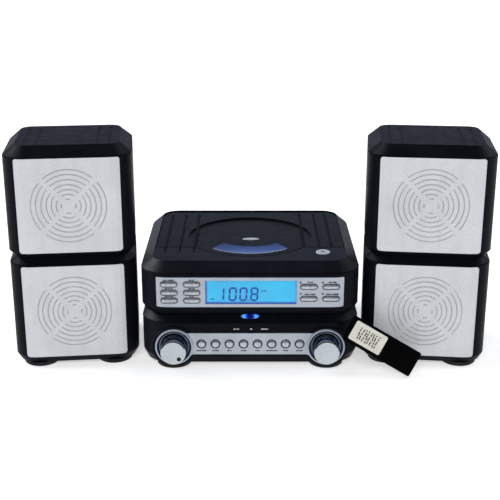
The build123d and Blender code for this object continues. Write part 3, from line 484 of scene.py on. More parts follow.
LOOK = {
    "lower_case": "casing", "upper_case": "casing", "cd_lid": "lid", "base_plate": "steel_sheet",
    "main_feet": "foot", "case_screws": "socket", "lower_bezel": "silver_panel", "upper_bezel": "silver_panel",
    "status_light": "status", "rear_panel": "steel_sheet", "rear_sockets": "socket", "power_inlet": "black_plastic",
    "main_board": "board", "transformer": "iron", "heat_sink": "sink", "lcd_window": "clear", "lcd_module": "display",
    "key_boards": "board", "encoders": "socket", "disc_well": "black_plastic", "mech_chassis": "steel_sheet",
    "spindle_motor": "socket", "spindle_hub": "black_plastic", "pickup_sled": "black_plastic", "lead_screw": "socket",
    "lid_window": "blue_window", "open_button": "button", "volume_knob": "chrome", "tuning_knob": "chrome",
    "remote_case": "remote_black", "remote_keypad": "keypad", "battery_tray": "remote_black",
}
for side in ("left", "right"):
    LOOK[f"speaker_{side}_cabinet"] = "casing"
    LOOK[f"speaker_{side}_grilles"] = "grille"
    LOOK[f"speaker_{side}_drivers"] = "steel_sheet"
    LOOK[f"speaker_{side}_cones"] = "cone"
    LOOK[f"speaker_{side}_feet"] = "foot"
for n, o in NODES.items():
    look = LOOK.get(n, "key")
    o.data.materials.clear()
    o.data.materials.append(M[look])


# ------------------------------------------------------------------ mesh builders
def finish_mesh(name, bm, mat, body, angle=32.0, smooth=True):
    bmesh.ops.recalc_face_normals(bm, faces=bm.faces)
    me = bpy.data.meshes.new(name)
    bm.to_mesh(me)
    bm.free()
    if smooth:
        me.polygons.foreach_set("use_smooth", [True] * len(me.polygons))
        me.set_sharp_from_angle(angle=math.radians(angle))
    me.materials.append(M[mat])
    ob = bpy.data.objects.new(name, me)
    bpy.context.scene.collection.objects.link(ob)
    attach(ob, body)
    return ob


def add_prism(bm, pts, plane, n0, n1, bevel=0.0, at=(0, 0), rot=0.0, segs=2):
    """A flat outline pushed out from n0 to n1 (mm along the plane's normal), its outer edge rounded."""
    c, s = math.cos(rot), math.sin(rot)
    low, high = [], []
    for a, b in pts:
        x, y = at[0] + a * c - b * s, at[1] + a * s + b * c
        low.append(bm.verts.new(plane.p(x, y, n0)))
        high.append(bm.verts.new(plane.p(x, y, n1)))
    k = len(pts)
    faces = [bm.faces.new(low[::-1]), bm.faces.new(high)]
    for i in range(k):
        j = (i + 1) % k
        faces.append(bm.faces.new((low[i], low[j], high[j], high[i])))
    if bevel:
        edges = list(faces[1].edges)
        bmesh.ops.bevel(bm, geom=edges, offset=bevel / 1000.0, segments=segs, affect="EDGES", profile=0.5)
    return faces


def circle(r, n=40):
    return [(r * math.cos(2 * math.pi * i / n), r * math.sin(2 * math.pi * i / n)) for i in range(n)]


def ellipse(a, b, n=48):
    return [(a * math.cos(2 * math.pi * i / n), b * math.sin(2 * math.pi * i / n)) for i in range(n)]


def rrect(w, h, r, n=6):
    out = []
    for cx, cy, a0 in ((w / 2 - r, h / 2 - r, 0), (-w / 2 + r, h / 2 - r, 90), (-w / 2 + r, -h / 2 + r, 180), (w / 2 - r, -h / 2 + r, 270)):
        for i in range(n + 1):
            a = math.radians(a0 + 90 * i / n)
            out.append((cx + r * math.cos(a), cy + r * math.sin(a)))
    return out


def add_lathe(bm, prof, plane, at=(0, 0), seg=72):
    """A closed outline of (radius, height along the normal), turned round the point at. A radius of 0 is a pole."""
    rings = []
    for r, h in prof:
        if r <= 1e-9:
            rings.append([bm.verts.new(plane.p(at[0], at[1], h))])
        else:
            rings.append([bm.verts.new(plane.p(at[0] + r * math.cos(2 * math.pi * i / seg), at[1] + r * math.sin(2 * math.pi * i / seg), h)) for i in range(seg)])
    k = len(rings)
    for a in range(k):
        A, B = rings[a], rings[(a + 1) % k]
        if len(A) == 1 and len(B) == 1:
            continue
        for i in range(seg):
            j = (i + 1) % seg
            if len(A) == 1:
                bm.faces.new((A[0], B[i], B[j]))
            elif len(B) == 1:
                bm.faces.new((A[i], A[j], B[0]))
            else:
                bm.faces.new((A[i], A[j], B[j], B[i]))


# ------------------------------------------------------------------ display: digits and marks behind the window
def seg_shape(x0, y0, x1, y1, w):
    """A seven-segment bar with pointed ends."""
    dx, dy = x1 - x0, y1 - y0
    L = math.hypot(dx, dy)
    ux, uy = dx / L, dy / L
    px, py = -uy * w / 2, ux * w / 2
    t = w / 2
    return [(x0, y0), (x0 + ux * t + px, y0 + uy * t + py), (x1 - ux * t + px, y1 - uy * t + py), (x1, y1),
            (x1 - ux * t - px, y1 - uy * t - py), (x0 + ux * t - px, y0 + uy * t - py)][::-1]


DIGITS = {"1": "bc", "0": "abcdef", "8": "abcdefg"}
bm = bmesh.new()
add_prism(bm, rrect(94.6, 25.7, 0.4, 3), FRONT, -1.78, -1.5, 0.1, at=(0.9, 85.35))
finish_mesh("display_panel", bm, "display", "main_unit", smooth=False)
bm = bmesh.new()
add_prism(bm, rrect(94.7, 25.8, 0.5, 4), FRONT, -1.2, 0.1, 0.25, at=(0.9, 85.35))
ob = finish_mesh("display_pane", bm, "clear", "main_unit")
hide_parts("lcd_window")
bm = bmesh.new()
W, H, T, G = 6.5, 13.2, 2.0, 0.12
for ch, cx in (("1", -27.8), ("0", -18.2), ("0", -7.2), ("8", 4.2)):
    x0, x1 = cx - W / 2, cx + W / 2
    if ch == "1":
        x0, x1 = cx - W, cx
    zb, zm, zt = 76.3, 76.3 + H / 2, 76.3 + H
    bars = {"a": (x0 + G, zt, x1 - G, zt), "b": (x1, zt - G, x1, zm + G), "c": (x1, zm - G, x1, zb + G),
            "d": (x0 + G, zb, x1 - G, zb), "e": (x0, zb + G, x0, zm - G), "f": (x0, zm + G, x0, zt - G),
            "g": (x0 + G, zm, x1 - G, zm)}
    for k in DIGITS[ch]:
        pts = [(a + (b - zb) * 0.05, b) for a, b in seg_shape(*bars[k], T)]
        add_prism(bm, pts, FRONT, -1.46, -1.38)
add_prism(bm, circle(0.6, 16), FRONT, -1.46, -1.38, at=(-1.6, 76.2))
for cx, cz, w in ((-40.4, 77.4, 1.3), (-38.2, 77.4, 1.7), (12.6, 86.6, 1.5), (14.7, 86.6, 1.2), (16.6, 86.6, 1.3)):
    add_prism(bm, rrect(w, 1.5, 0.25, 3), FRONT, -1.46, -1.38, at=(cx, cz))
finish_mesh("display_digits", bm, "segments", "main_unit", smooth=False)

# ------------------------------------------------------------------ crowned key caps
def slot_pts(L, H, n=14):
    r = H / 2
    c = L / 2 - r
    out = []
    for i in range(n + 1):
        a = -math.pi / 2 + math.pi * i / n
        out.append((c + r * math.cos(a), r * math.sin(a)))
    for i in range(n + 1):
        a = math.pi / 2 + math.pi * i / n
        out.append((-c + r * math.cos(a), r * math.sin(a)))
    return out


def add_crown(bm, ring, levels, plane, at):
    """Stacked outlines: levels of (inset, height), the last one closed flat."""
    rows = [[bm.verts.new(plane.p(at[0] + x, at[1] + y, h)) for x, y in ring(d)] for d, h in levels]
    for A, B in zip(rows, rows[1:]):
        k = len(A)
        for i in range(k):
            j = (i + 1) % k
            bm.faces.new((A[i], A[j], B[j], B[i]))
    bm.faces.new(rows[0][::-1])
    bm.faces.new(rows[-1])


def add_ring(bm, outer, inner, plane, n0, n1, at):
    """A flat band between two outlines of the same length."""
    rows = [[bm.verts.new(plane.p(at[0] + x, at[1] + y, h)) for x, y in o] for o, h in ((outer, n0), (outer, n1), (inner, n1), (inner, n0))]
    for q in range(4):
        A, B = rows[q], rows[(q + 1) % 4]
        k = len(A)
        for i in range(k):
            j = (i + 1) % k
            bm.faces.new((A[i], A[j], B[j], B[i]))


for n, (kx, kz) in PILLS.items():
    bm = bmesh.new()
    levels = [(0.0, -5.6), (0.0, 0.55), (0.08, 0.85), (0.28, 1.15), (0.58, 1.42), (0.98, 1.64), (1.45, 1.79), (1.95, 1.87), (2.42, 1.9)]
    add_crown(bm, lambda d: slot_pts(16.4 - 2 * d, 5.0 - 2 * d), levels, FRONT, (kx, kz))
    ob = finish_mesh("cap_" + n, bm, "key", n, angle=50)
    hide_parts(n)
for i, kx in enumerate(KEY_X):
    bm = bmesh.new()
    levels = [(0.0, -5.6), (0.0, 1.1), (0.1, 1.45), (0.35, 1.8), (0.75, 2.1), (1.3, 2.33), (2.0, 2.48), (2.8, 2.57), (3.7, 2.6)]
    add_crown(bm, lambda d: circle(4.0 - d, 36), levels, FRONT, (kx, KEY_Z))
    ob = finish_mesh(f"cap_key_round_{i + 1}", bm, "key", f"key_round_{i + 1}", angle=50)
    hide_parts(f"key_round_{i + 1}")

# ------------------------------------------------------------------ generic label bars on the silver panels
bm = bmesh.new()
for n, (kx, kz) in PILLS.items():
    right = kx > 0
    words = {"key_clock_up": (2.0, 1.2, 6.4), "key_clock_mid": (3.0, 2.4, 2.0), "key_clock_low": (2.6, 1.6, 3.4),
             "key_timer_up": (2.6, 2.4), "key_timer_mid": (3.2, 3.0), "key_timer_low": (2.0, 1.8),
             "key_band_up": (1.6, 1.0, 1.8), "key_band_low": (4.2, 1.0, 4.6), "key_power_up": (2.6, 1.2, 3.2),
             "key_power_low": (5.0, 1.0, 6.2)}[n]
    total = sum(words) + 0.5 * (len(words) - 1)
    x = kx - total / 2 + (1.2 if right else 0)
    for w in words:
        add_prism(bm, rrect(w, 1.45, 0.3, 2), FRONT, 0.395, 0.43, at=(x + w / 2, kz + (4.55 if not right else 5.0)))
        x += w + 0.5
for i, kx in enumerate(KEY_X):
    words = [(3.2, 1.6, 4.6), (3.0, 3.4), (2.6, 1.6), (2.2, 3.2), (1.8, 2.6), (3.2, 4.0, 4.4), (2.0, 3.0), (3.0, 3.6)][i]
    total = sum(words) + 0.4 * (len(words) - 1)
    x = kx - total / 2
    for w in words:
        add_prism(bm, rrect(w, 1.3, 0.25, 2), FRONT, 1.195, 1.23, at=(x + w / 2, 19.9))
        x += w + 0.4
# painted shade: a dark ring round every key hole, standing for the shadowed gap
for n, at in PILLS.items():
    add_ring(bm, slot_pts(18.5, 7.1), slot_pts(17.25, 5.85), FRONT, 0.395, 0.425, at)
for kx in KEY_X:
    add_ring(bm, circle(5.35, 48), circle(4.62, 48), FRONT, 1.195, 1.225, (kx, KEY_Z))
finish_mesh("panel_labels_and_gap_shade", bm, "print_and_gap_shade", "main_unit", smooth=False)

# tiny marks on the black strip above the lower panel
bm = bmesh.new()
for x, w, h in ((-16.2, 2.0, 0.8), (-13.4, 1.4, 0.8), (-11.7, 0.7, 0.8), (-1.6, 2.4, 0.7), (1.2, 2.4, 0.7), (-1.6, 2.4, 0.7), (13.2, 2.6, 0.8), (16.3, 2.6, 0.8), (18.6, 0.9, 0.8)):
    add_prism(bm, rrect(w, h + 0.35, 0.2, 2), FRONT, -0.005, 0.03, at=(x, 44.0))
finish_mesh("strip_marks", bm, "white_print_and_highlight", "main_unit", smooth=False)

# indicator lamps beside the right-hand keys
for name, mat, spots in (("lamps_dark", "led_dark", ((52.3, 96.3), (75.4, 96.3), (75.4, 83.9))), ("lamp_green", "led_green", ((52.4, 83.9),))):
    bm = bmesh.new()
    for x, z in spots:
        add_lathe(bm, [(0, 0.2), (1.15, 0.2), (1.15, 0.5), (0.9, 0.75), (0.45, 0.88), (0, 0.92)], FRONT, (x, z), 24)
    finish_mesh(name, bm, mat, "main_unit")

# ------------------------------------------------------------------ dial dishes inside the two silver rings
for name, s in (("dial_dish_left", -1), ("dial_dish_right", 1)):
    bm = bmesh.new()
    prof = [(16.95, 1.4), (16.7, 1.9), (16.35, 1.9), (16.2, 1.2), (15.75, 0.6), (15.6, 1.0), (15.35, 1.0), (15.2, 0.2),
            (14.75, -1.1), (14.6, -0.7), (14.38, -0.7), (14.25, -1.6), (13.85, -3.4), (13.8, -7.2), (5.0, -8.6),
            (5.0, -9.3), (14.6, -9.3), (16.95, -2.0)]
    add_lathe(bm, prof, FRONT, (s * RING_X, RING_Z), 96)
    finish_mesh(name, bm, "dish", "main_unit", angle=40)
    # its gloss rim laps the inside of the silver ring
    bm = bmesh.new()
    add_lathe(bm, [(18.35, 3.25), (18.3, 3.45), (17.7, 3.44), (17.15, 3.1), (16.85, 2.5), (16.6, 1.7), (16.95, 1.2), (17.3, 1.2), (17.6, 2.6)], FRONT, (s * RING_X, RING_Z), 96)
    finish_mesh(name + "_rim", bm, "dish", "main_unit", angle=40)
    # fine pale line on each of its two ridges
    bm = bmesh.new()
    for r, h in ((15.47, 1.0), (14.49, -0.7)):
        add_lathe(bm, [(r - 0.2, h - 0.1), (r - 0.2, h + 0.05), (r, h + 0.16), (r + 0.2, h + 0.05), (r + 0.2, h - 0.1)], FRONT, (s * RING_X, RING_Z), 96)
    for k, a in enumerate(range(-18, 19, 6)):
        a = math.radians(90 + a)
        add_prism(bm, rrect(0.9, 0.45, 0.15, 2), FRONT, 1.85, 1.93, at=(s * RING_X + 16.5 * math.cos(a), RING_Z + 16.5 * math.sin(a)), rot=a - math.pi / 2)
    finish_mesh(name + "_lines", bm, "silver_panel", "main_unit", angle=40)

# pointer dot sunk in the volume knob's face
bm = bmesh.new()
add_lathe(bm, [(0, 17.15), (2.28, 17.15), (2.28, 18.25), (2.05, 18.4), (1.2, 18.3), (0, 18.25)], FRONT, (-RING_X + 6.0, RING_Z - 6.8), 32)
finish_mesh("volume_dot", bm, "foot", "volume_knob")
# thin dark bands round each knob's rim: painted shade standing for turned grooves
for name, body, s in (("volume_knob_groove_shade", "volume_knob", -1), ("tuning_knob_groove_shade", "tuning_knob", 1)):
    bm = bmesh.new()
    for h in (3.0, 5.0, 7.0):
        add_lathe(bm, [(13.1, h - 0.3), (13.32, h - 0.15), (13.32, h + 0.15), (13.1, h + 0.3)], FRONT, (s * RING_X, RING_Z), 96)
    finish_mesh(name, bm, "dish", body)

# ------------------------------------------------------------------ lid: oval badge, window rim
bm = bmesh.new()
add_prism(bm, ellipse(9.2, 3.6), TOP, 113.95, 114.5, 0.25, at=(1.0, 89.0))
finish_mesh("lid_badge", bm, "button", "disc_lid")
bm = bmesh.new()
for a, b in ((7.6, 2.6),):
    pts = ellipse(a, b, 48)
    inner = ellipse(a - 0.45, b - 0.35, 48)
    lo = [bm.verts.new(TOP.p(1.0 + x, 89 + y, 114.45)) for x, y in pts]
    hi = [bm.verts.new(TOP.p(1.0 + x, 89 + y, 114.56)) for x, y in pts]
    li = [bm.verts.new(TOP.p(1.0 + x, 89 + y, 114.45)) for x, y in inner]
    hj = [bm.verts.new(TOP.p(1.0 + x, 89 + y, 114.56)) for x, y in inner]
    for i in range(48):
        j = (i + 1) % 48
        bm.faces.new((lo[i], lo[j], hi[j], hi[i]))
        bm.faces.new((hi[i], hi[j], hj[j], hj[i]))
        bm.faces.new((hj[i], hj[j], li[j], li[i]))
        bm.faces.new((li[i], li[j], lo[j], lo[i]))
finish_mesh("lid_badge_rings", bm, "print_and_gap_shade", "disc_lid")

Z_TOP = 116.0
# dark strips of painted shade in the floors of the six ribs, on the lid and on the case in front of it
for name, body, lo, hi in (("rib_floor_lid", "disc_lid", 56.4, 999.0), ("rib_floor_case", "main_unit", 0.0, 54.0)):
    bm = bmesh.new()
    for rx, y_a, y_b in ((-90.5, 40, 172), (-75.0, 40, 172), (-59.7, 40, 172), (58.6, 57, 176), (74.9, 57, 176), (88.1, 57, 176)):
        a, b = max(lo, y_a + 2.0), min(hi, y_b - 2.0)
        if b - a > 2:
            add_prism(bm, rrect(3.3, b - a, 1.5, 6), TOP, Z_TOP - 0.85, Z_TOP - 0.38, at=(rx, (a + b) / 2))
    finish_mesh(name, bm, "remote_black", body, smooth=False)
# painted shadow line along the case side of the lid's front seam
bm = bmesh.new()
for s in (-1, 1):
    add_prism(bm, rrect(43.2, 0.8, 0.1, 2), TOP, Z_TOP - 0.05, Z_TOP + 0.02, at=(s * 79.9, 54.35))
arc = [math.radians(-143.5 + 107.0 * i / 72) for i in range(73)]
rows = [[bm.verts.new(TOP.p(r * math.cos(a), 96.0 + r * math.sin(a), h)) for a in arc] for r, h in ((70.75, Z_TOP - 0.05), (70.75, Z_TOP + 0.02), (71.5, Z_TOP + 0.02), (71.5, Z_TOP - 0.05))]
for k in range(4):
    A, B = rows[k], rows[(k + 1) % 4]
    for i in range(72):
        bm.faces.new((A[i], A[i + 1], B[i + 1], B[i]))
bm.faces.new([r[0] for r in rows])
bm.faces.new([r[-1] for r in rows][::-1])
finish_mesh("lid_seam_shadow", bm, "remote_black", "main_unit", smooth=False)

# pale line along the window's front edge: a painted highlight on its rim
bm = bmesh.new()
arc = [math.radians(-133.0 + 86.0 * i / 48) for i in range(49)]
rows = [[bm.verts.new(TOP.p(r * math.cos(a), 98.2 + r * math.sin(a), h)) for a in arc] for r, h in ((57.5, 113.75), (57.5, 113.88), (56.7, 113.88), (56.7, 113.75))]
for k in range(4):
    A, B = rows[k], rows[(k + 1) % 4]
    for i in range(48):
        bm.faces.new((A[i], A[i + 1], B[i + 1], B[i]))
bm.faces.new([r[0] for r in rows])
bm.faces.new([r[-1] for r in rows][::-1])
finish_mesh("window_edge_highlight", bm, "white_print_and_highlight", "disc_lid")

# small arrow-like mark on the open button
bm = bmesh.new()
add_prism(bm, [(-2.2, -0.4), (2.2, -0.4), (0, 2.2)], TOP, 116.4, 116.55, at=(77.7, 39.7))
add_prism(bm, rrect(4.4, 0.8, 0.2, 2), TOP, 116.4, 116.55, at=(77.7, 38.2))
finish_mesh("open_mark", bm, "print_and_gap_shade", "open_button", smooth=False)

# ------------------------------------------------------------------ disc drive dressing
bm = bmesh.new()
add_lathe(bm, [(0, 98.4), (2.1, 98.4), (2.0, 98.9), (1.4, 99.25), (0.7, 99.4), (0, 99.45)], TOP, (0, 75.5), 32)
finish_mesh("pickup_lens", bm, "lens_glass", "pickup_sled")
bm = bmesh.new()
prof = [(8.2, 102.95), (8.2, 103.25)]
for i in range(8):
    r = 8.6 + i * 0.7
    prof += [(r, 103.4), (r + 0.35, 103.28)]
prof += [(14.2, 103.25), (14.2, 102.95)]
add_lathe(bm, prof, TOP, (0, 96.0), 72)
finish_mesh("hub_mat", bm, "foot", "spindle_hub")
bm = bmesh.new()
for k in range(3):
    a = math.radians(90 + 120 * k)
    cx, cy = 7.1 * math.cos(a), 96.0 + 7.1 * math.sin(a)
    bmesh.ops.create_icosphere(bm, subdivisions=2, radius=0.00075, matrix=Matrix.Translation(TOP.p(cx, cy, 104.3)))
finish_mesh("hub_balls", bm, "socket", "spindle_hub", angle=80)

# dark strips of painted shade in the floors of the four ribs on each speaker's top
for side in ("left", "right"):
    face, _rear = speaker_planes(side)
    bm = bmesh.new()
    for rx in (-43, -31, 31, 43):
        v = [bm.verts.new(face.p(rx + u, z, n)) for z in (237.35, 237.7) for u, n in ((-1.2, -16), (1.2, -16), (1.2, -88), (-1.2, -88))]
        for f in ((0, 1, 2, 3), (4, 5, 6, 7), (0, 1, 5, 4), (1, 2, 6, 5), (2, 3, 7, 6), (3, 0, 4, 7)):
            bm.faces.new([v[i] for i in f])
    finish_mesh(f"rib_floor_{side}", bm, "remote_black", f"speaker_{side}", smooth=False)

# ------------------------------------------------------------------ speaker grilles
def grille_mesh(zc, height, dz):
    """Flat plate with seven rings of small open holes, broken on the diagonals; local u, v in mm."""
    R = SPK_R + 0.3
    half = 41.5 + R * math.asin((GRILLE_W / 2 - 41.5) / R)
    loops = [rrect(2 * half, height, 3.0, 6)]
    holes = []
    for r in (38.0, 33.0, 27.6, 22.4, 17.4, 12.4, 7.4):
        n = int(2 * math.pi * r / 2.15 / 4) * 4
        for i in range(n):
            a = 2 * math.pi * (i + 0.5) / n
            off = abs((math.degrees(a) % 90.0) - 45.0)
            if off < math.degrees(2.5 / r):
                continue
            cx, cz = r * math.cos(a), dz - zc + r * math.sin(a)
            holes.append((cx, cz))
            loops.append([(cx + 0.84 * math.cos(2 * math.pi * q / 10), cz + 0.84 * math.sin(2 * math.pi * q / 10)) for q in range(10)])
    co, ed = [], []
    for lp in loops:
        k = len(co)
        co += lp
        ed += [(k + i, k + (i + 1) % len(lp)) for i in range(len(lp))]
    # straight cuts where the sheet bends round the cabinet's corners
    for x in [41.5 + 1.45 * k for k in range(8)]:
        if x < half - 0.6:
            for s in (-1, 1):
                k = len(co)
                top = height / 2 - (0 if x < half - 3.0 else 1.2)
                steps = 14
                co += [(s * x, -top + 2 * top * i / steps) for i in range(steps + 1)]
                ed += [(k + i, k + i + 1) for i in range(steps)]
    verts, _, faces, *_rest = delaunay_2d_cdt([Vector(c) for c in co], ed, [], 1, 1e-4)
    hk = {}
    for cx, cz in holes:
        hk.setdefault((int(cx // 4), int(cz // 4)), []).append((cx, cz))
    b = bmesh.new()
    vs = [b.verts.new((v.x / 1000, v.y / 1000, 0.00014)) for v in verts]
    for f in faces:
        cx = sum(verts[i].x for i in f) / len(f)
        cz = sum(verts[i].y for i in f) / len(f)
        gx, gz = int(cx // 4), int(cz // 4)
        inside = any(math.hypot(cx - hx, cz - hz) < 0.81 for ix in (-1, 0, 1) for iz in (-1, 0, 1) for hx, hz in hk.get((gx + ix, gz + iz), []))
        if not inside:
            b.faces.new([vs[i] for i in f])
    for v in [v for v in b.verts if not v.link_faces]:
        b.verts.remove(v)
    geom = bmesh.ops.extrude_face_region(b, geom=b.faces[:])
    for v in geom["geom"]:
        if isinstance(v, bmesh.types.BMVert):
            v.co.z -= 0.00028
    return b


def bend(b, plane, zc, base):
    """Local (u, v, n) metres onto the speaker's face, wrapped round its front corners."""
    for v in b.verts:
        u, w, n = v.co.x * 1000, v.co.y * 1000, v.co.z * 1000 + base
        s = abs(u) - 41.5
        if s > 0:
            a = s / (SPK_R + 0.3)
            r = SPK_R + n
            u = math.copysign(41.5 + r * math.sin(a), u)
            n = r * math.cos(a) - SPK_R
        v.co = plane.p(u, zc + w, n)


for side in ("left", "right"):
    face, rear = speaker_planes(side)
    body = f"speaker_{side}"
    for k, ((za, zb), dz) in enumerate(zip(GRILLE_Z, DRIVER_Z)):
        tag = ("low", "up")[k]
        zc, h = (za + zb) / 2, zb - za
        b = grille_mesh(zc, h, dz)
        bend(b, face, zc, 0.14)
        g = finish_mesh(f"grille_{side}_{tag}", b, "grille", body, angle=30)
        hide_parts(f"speaker_{side}_grilles")
        # pressed rim behind the plate's edge, so that the sheet has a turned lip
        b = bmesh.new()
        n_seg = 10
        R = SPK_R + 0.3
        half = 41.5 + R * math.asin((GRILLE_W / 2 - 41.5) / R) - 0.25
        outer = rrect(2 * half, h - 0.5, 2.8, 6)
        inner = rrect(2 * half - 2.4, h - 2.9, 1.8, 6)
        cols = []
        def dense(pts):
            out = []
            for i, p in enumerate(pts):
                q = pts[(i + 1) % len(pts)]
                m = max(1, int(math.hypot(q[0] - p[0], q[1] - p[1]) / 4.0))
                for j in range(m):
                    out.append((p[0] + (q[0] - p[0]) * j / m, p[1] + (q[1] - p[1]) * j / m))
            return out
        steps = [(1.0, -1.0)]
        do, di = dense(outer), []
        for (x, y) in do:
            di.append((x * (half - 1.2) / half, y * (h / 2 - 1.45) / (h / 2 - 0.25)))
        k4 = len(do)
        rings = []
        for pts, n in ((do, 0.0), (do, -0.9), (di, -0.9), (di, 0.0)):
            rings.append([b.verts.new((x / 1000, y / 1000, n / 1000)) for x, y in pts])
        for r0 in range(4):
            A, B = rings[r0], rings[(r0 + 1) % 4]
            for i in range(k4):
                j = (i + 1) % k4
                b.faces.new((A[i], A[j], B[j], B[i]))
        bend(b, face, zc, 0.0)
        finish_mesh(f"grille_{side}_{tag}_lip", b, "grille", body, angle=30)
        # cloth stretched behind the holes
        b = bmesh.new()
        add_lathe(b, [(0, -0.95), (40.6, -0.95), (40.6, -0.35), (30, -0.42), (15, -0.46), (0, -0.48)], face, (0, dz), 72)
        finish_mesh(f"cloth_{side}_{tag}", b, "cloth", body)

    # wire terminals in the recess of the back
    b = bmesh.new()
    add_prism(b, rrect(49, 23, 2.4, 5), rear, -2.6, -1.9, 0.3, at=(0, 46))
    finish_mesh(f"terminal_plate_{side}", b, "black_plastic", body)
    for tag, mat, x in (("red", "red_insert", -10.5), ("black", "black_plastic", 10.5)):
        b = bmesh.new()
        add_prism(b, rrect(13, 9.5, 2.0, 5), rear, -2.0, -0.25, 0.6, at=(x, 49.5), segs=3)
        add_prism(b, rrect(9, 1.0, 0.4, 3), rear, -0.4, -0.05, 0.1, at=(x, 51.8))
        add_prism(b, rrect(9, 1.0, 0.4, 3), rear, -0.4, -0.05, 0.1, at=(x, 49.8))
        finish_mesh(f"terminal_{tag}_{side}", b, mat, body)
        b = bmesh.new()
        add_lathe(b, [(1.3, -1.95), (2.4, -1.95), (2.4, -1.2), (2.1, -0.95), (1.6, -0.95), (1.3, -1.2)], rear, (x, 40.2), 28)
        finish_mesh(f"terminal_eye_{tag}_{side}", b, "socket", body)

# ------------------------------------------------------------------ rear sockets: plated shells with coloured insulators
sock = [(-66, 36, "red_insert"), (-52, 36, "white_insert"), (-66, 22, "red_insert"), (-52, 22, "white_insert"), (-24, 29, "black_plastic"), (-8, 29, "black_plastic")]
b = bmesh.new()
for x, z, _ in sock:
    add_lathe(b, [(4.1, -11.0), (4.1, 1.5), (3.85, 1.85), (3.45, 1.85), (3.25, 1.5), (3.25, -11.0)], BACK, (-x, z), 40)
add_prism(b, rrect(26, 26, 0.8, 3), BACK, -10.0, -3.05, at=(59, 29))
add_prism(b, rrect(28, 14, 0.8, 3), BACK, -10.0, -3.05, at=(16, 29))
ob = finish_mesh("socket_shells", b, "socket", "main_unit")
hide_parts("rear_sockets")
for colour in ("red_insert", "white_insert", "black_plastic"):
    b = bmesh.new()
    for x, z, c in sock:
        if c == colour:
            add_lathe(b, [(3.2, -11.0), (3.2, 0.7), (2.9, 1.0), (1.9, 1.0), (1.6, 0.6), (1.6, -6.0), (0, -6.0), (0, -11.0)], BACK, (-x, z), 36)
    finish_mesh("socket_" + colour, b, colour, "main_unit")

# ------------------------------------------------------------------ remote: marks moulded on the keypad
b = bmesh.new()
rows = 8
for i in range(rows):
    u = -16.6 - 10.2 + i * 2.95
    cells = [(-5.4, 2.8, 1.15), (-2.6, 1.9, 1.5), (0.2, 2.6, 1.25), (3.0, 2.1, 1.45), (5.6, 2.0, 1.1)]
    for j, (v, ln, wd) in enumerate(cells):
        shift = 0.35 * math.sin(1.7 * i + 2.3 * j)
        add_prism(b, rrect(wd, ln, min(wd, ln) * 0.45, 3), CARD, 0.15, 0.42, 0.08, at=(u + 0.4 * math.cos(2.1 * i + j), 0.3 + v + shift), rot=0.25 * math.sin(i * 1.3 + j))
finish_mesh("remote_key_marks", b, "print_and_gap_shade", "remote")
# thin seam line round the remote's edge
b = bmesh.new()
out, inn = rrect(79.64, 27.84, 2.0, 6), rrect(79.2, 27.4, 1.8, 6)
rings = [[b.verts.new(CARD.p(x, y, n)) for x, y in pts] for pts, n in ((out, -1.85), (out, -2.1), (inn, -2.1), (inn, -1.85))]
for r0 in range(4):
    A, B = rings[r0], rings[(r0 + 1) % 4]
    for i in range(len(out)):
        j = (i + 1) % len(out)
        b.faces.new((A[i], A[j], B[j], B[i]))
finish_mesh("remote_seam", b, "foot", "remote")
# coin cell in the tray
b = bmesh.new()
add_lathe(b, [(0, -5.5), (9.7, -5.5), (10.0, -5.2), (10.0, -3.2), (9.6, -2.75), (8.4, -2.7), (8.2, -2.85), (0, -2.85)], CARD, (24.0, 0.8), 48)
finish_mesh("coin_cell", b, "brass", "battery_tray")

# ------------------------------------------------------------------ floor, lights, camera
def stage_floor():
    b = bmesh.new()
    r = 30.0
    vs = [b.verts.new((r * math.cos(2 * math.pi * i / 48), r * math.sin(2 * math.pi * i / 48), -0.0002)) for i in range(48)]
    b.faces.new(vs)
    me = bpy.data.meshes.new("studio_floor")
    b.to_mesh(me)
    b.free()
    m = Mat("floor_paper")
    n = m.noise(3.0, 3.0)
    m.color(m.ramp(n, [(0.3, (0.90, 0.90, 0.90, 1)), (0.7, (0.93, 0.93, 0.93, 1))]))
    m.set(rough=0.9, spec=0.0, em=0.5)
    m.b.inputs["Emission Color"].default_value = (1, 1, 1, 1)
    me.materials.append(m.m)
    ob = bpy.data.objects.new("studio_floor", me)
    bpy.context.scene.collection.objects.link(ob)
    ob.visible_glossy = False


stage_floor()

world = bpy.data.worlds.new("studio") if not bpy.data.worlds else bpy.data.worlds[0]
bpy.context.scene.world = world
world.use_nodes = True
wt = world.node_tree
wt.nodes["Background"].inputs["Strength"].default_value = 1.0
wc = wt.nodes.new("ShaderNodeTexCoord")
ws = wt.nodes.new("ShaderNodeSeparateXYZ")
wt.links.new(wc.outputs["Generated"], ws.inputs["Vector"])
def world_ramp(stops, tint):
    wm = wt.nodes.new("ShaderNodeMapRange")
    wm.inputs["From Min"].default_value = -1.0
    wm.inputs["From Max"].default_value = 1.0
    wt.links.new(ws.outputs["Z"], wm.inputs["Value"])
    wr = wt.nodes.new("ShaderNodeValToRGB")
    el = wr.color_ramp.elements
    while len(el) < len(stops):
        el.new(0.5)
    for e, (pp, vv) in zip(el, stops):
        t = (0.99, 1.0, 1.01) if pp < 0.5 else tint
        e.position, e.color = pp, (vv * t[0], vv * t[1], vv * t[2], 1)
    wt.links.new(wm.outputs["Result"], wr.inputs["Fac"])
    return wr.outputs["Color"]


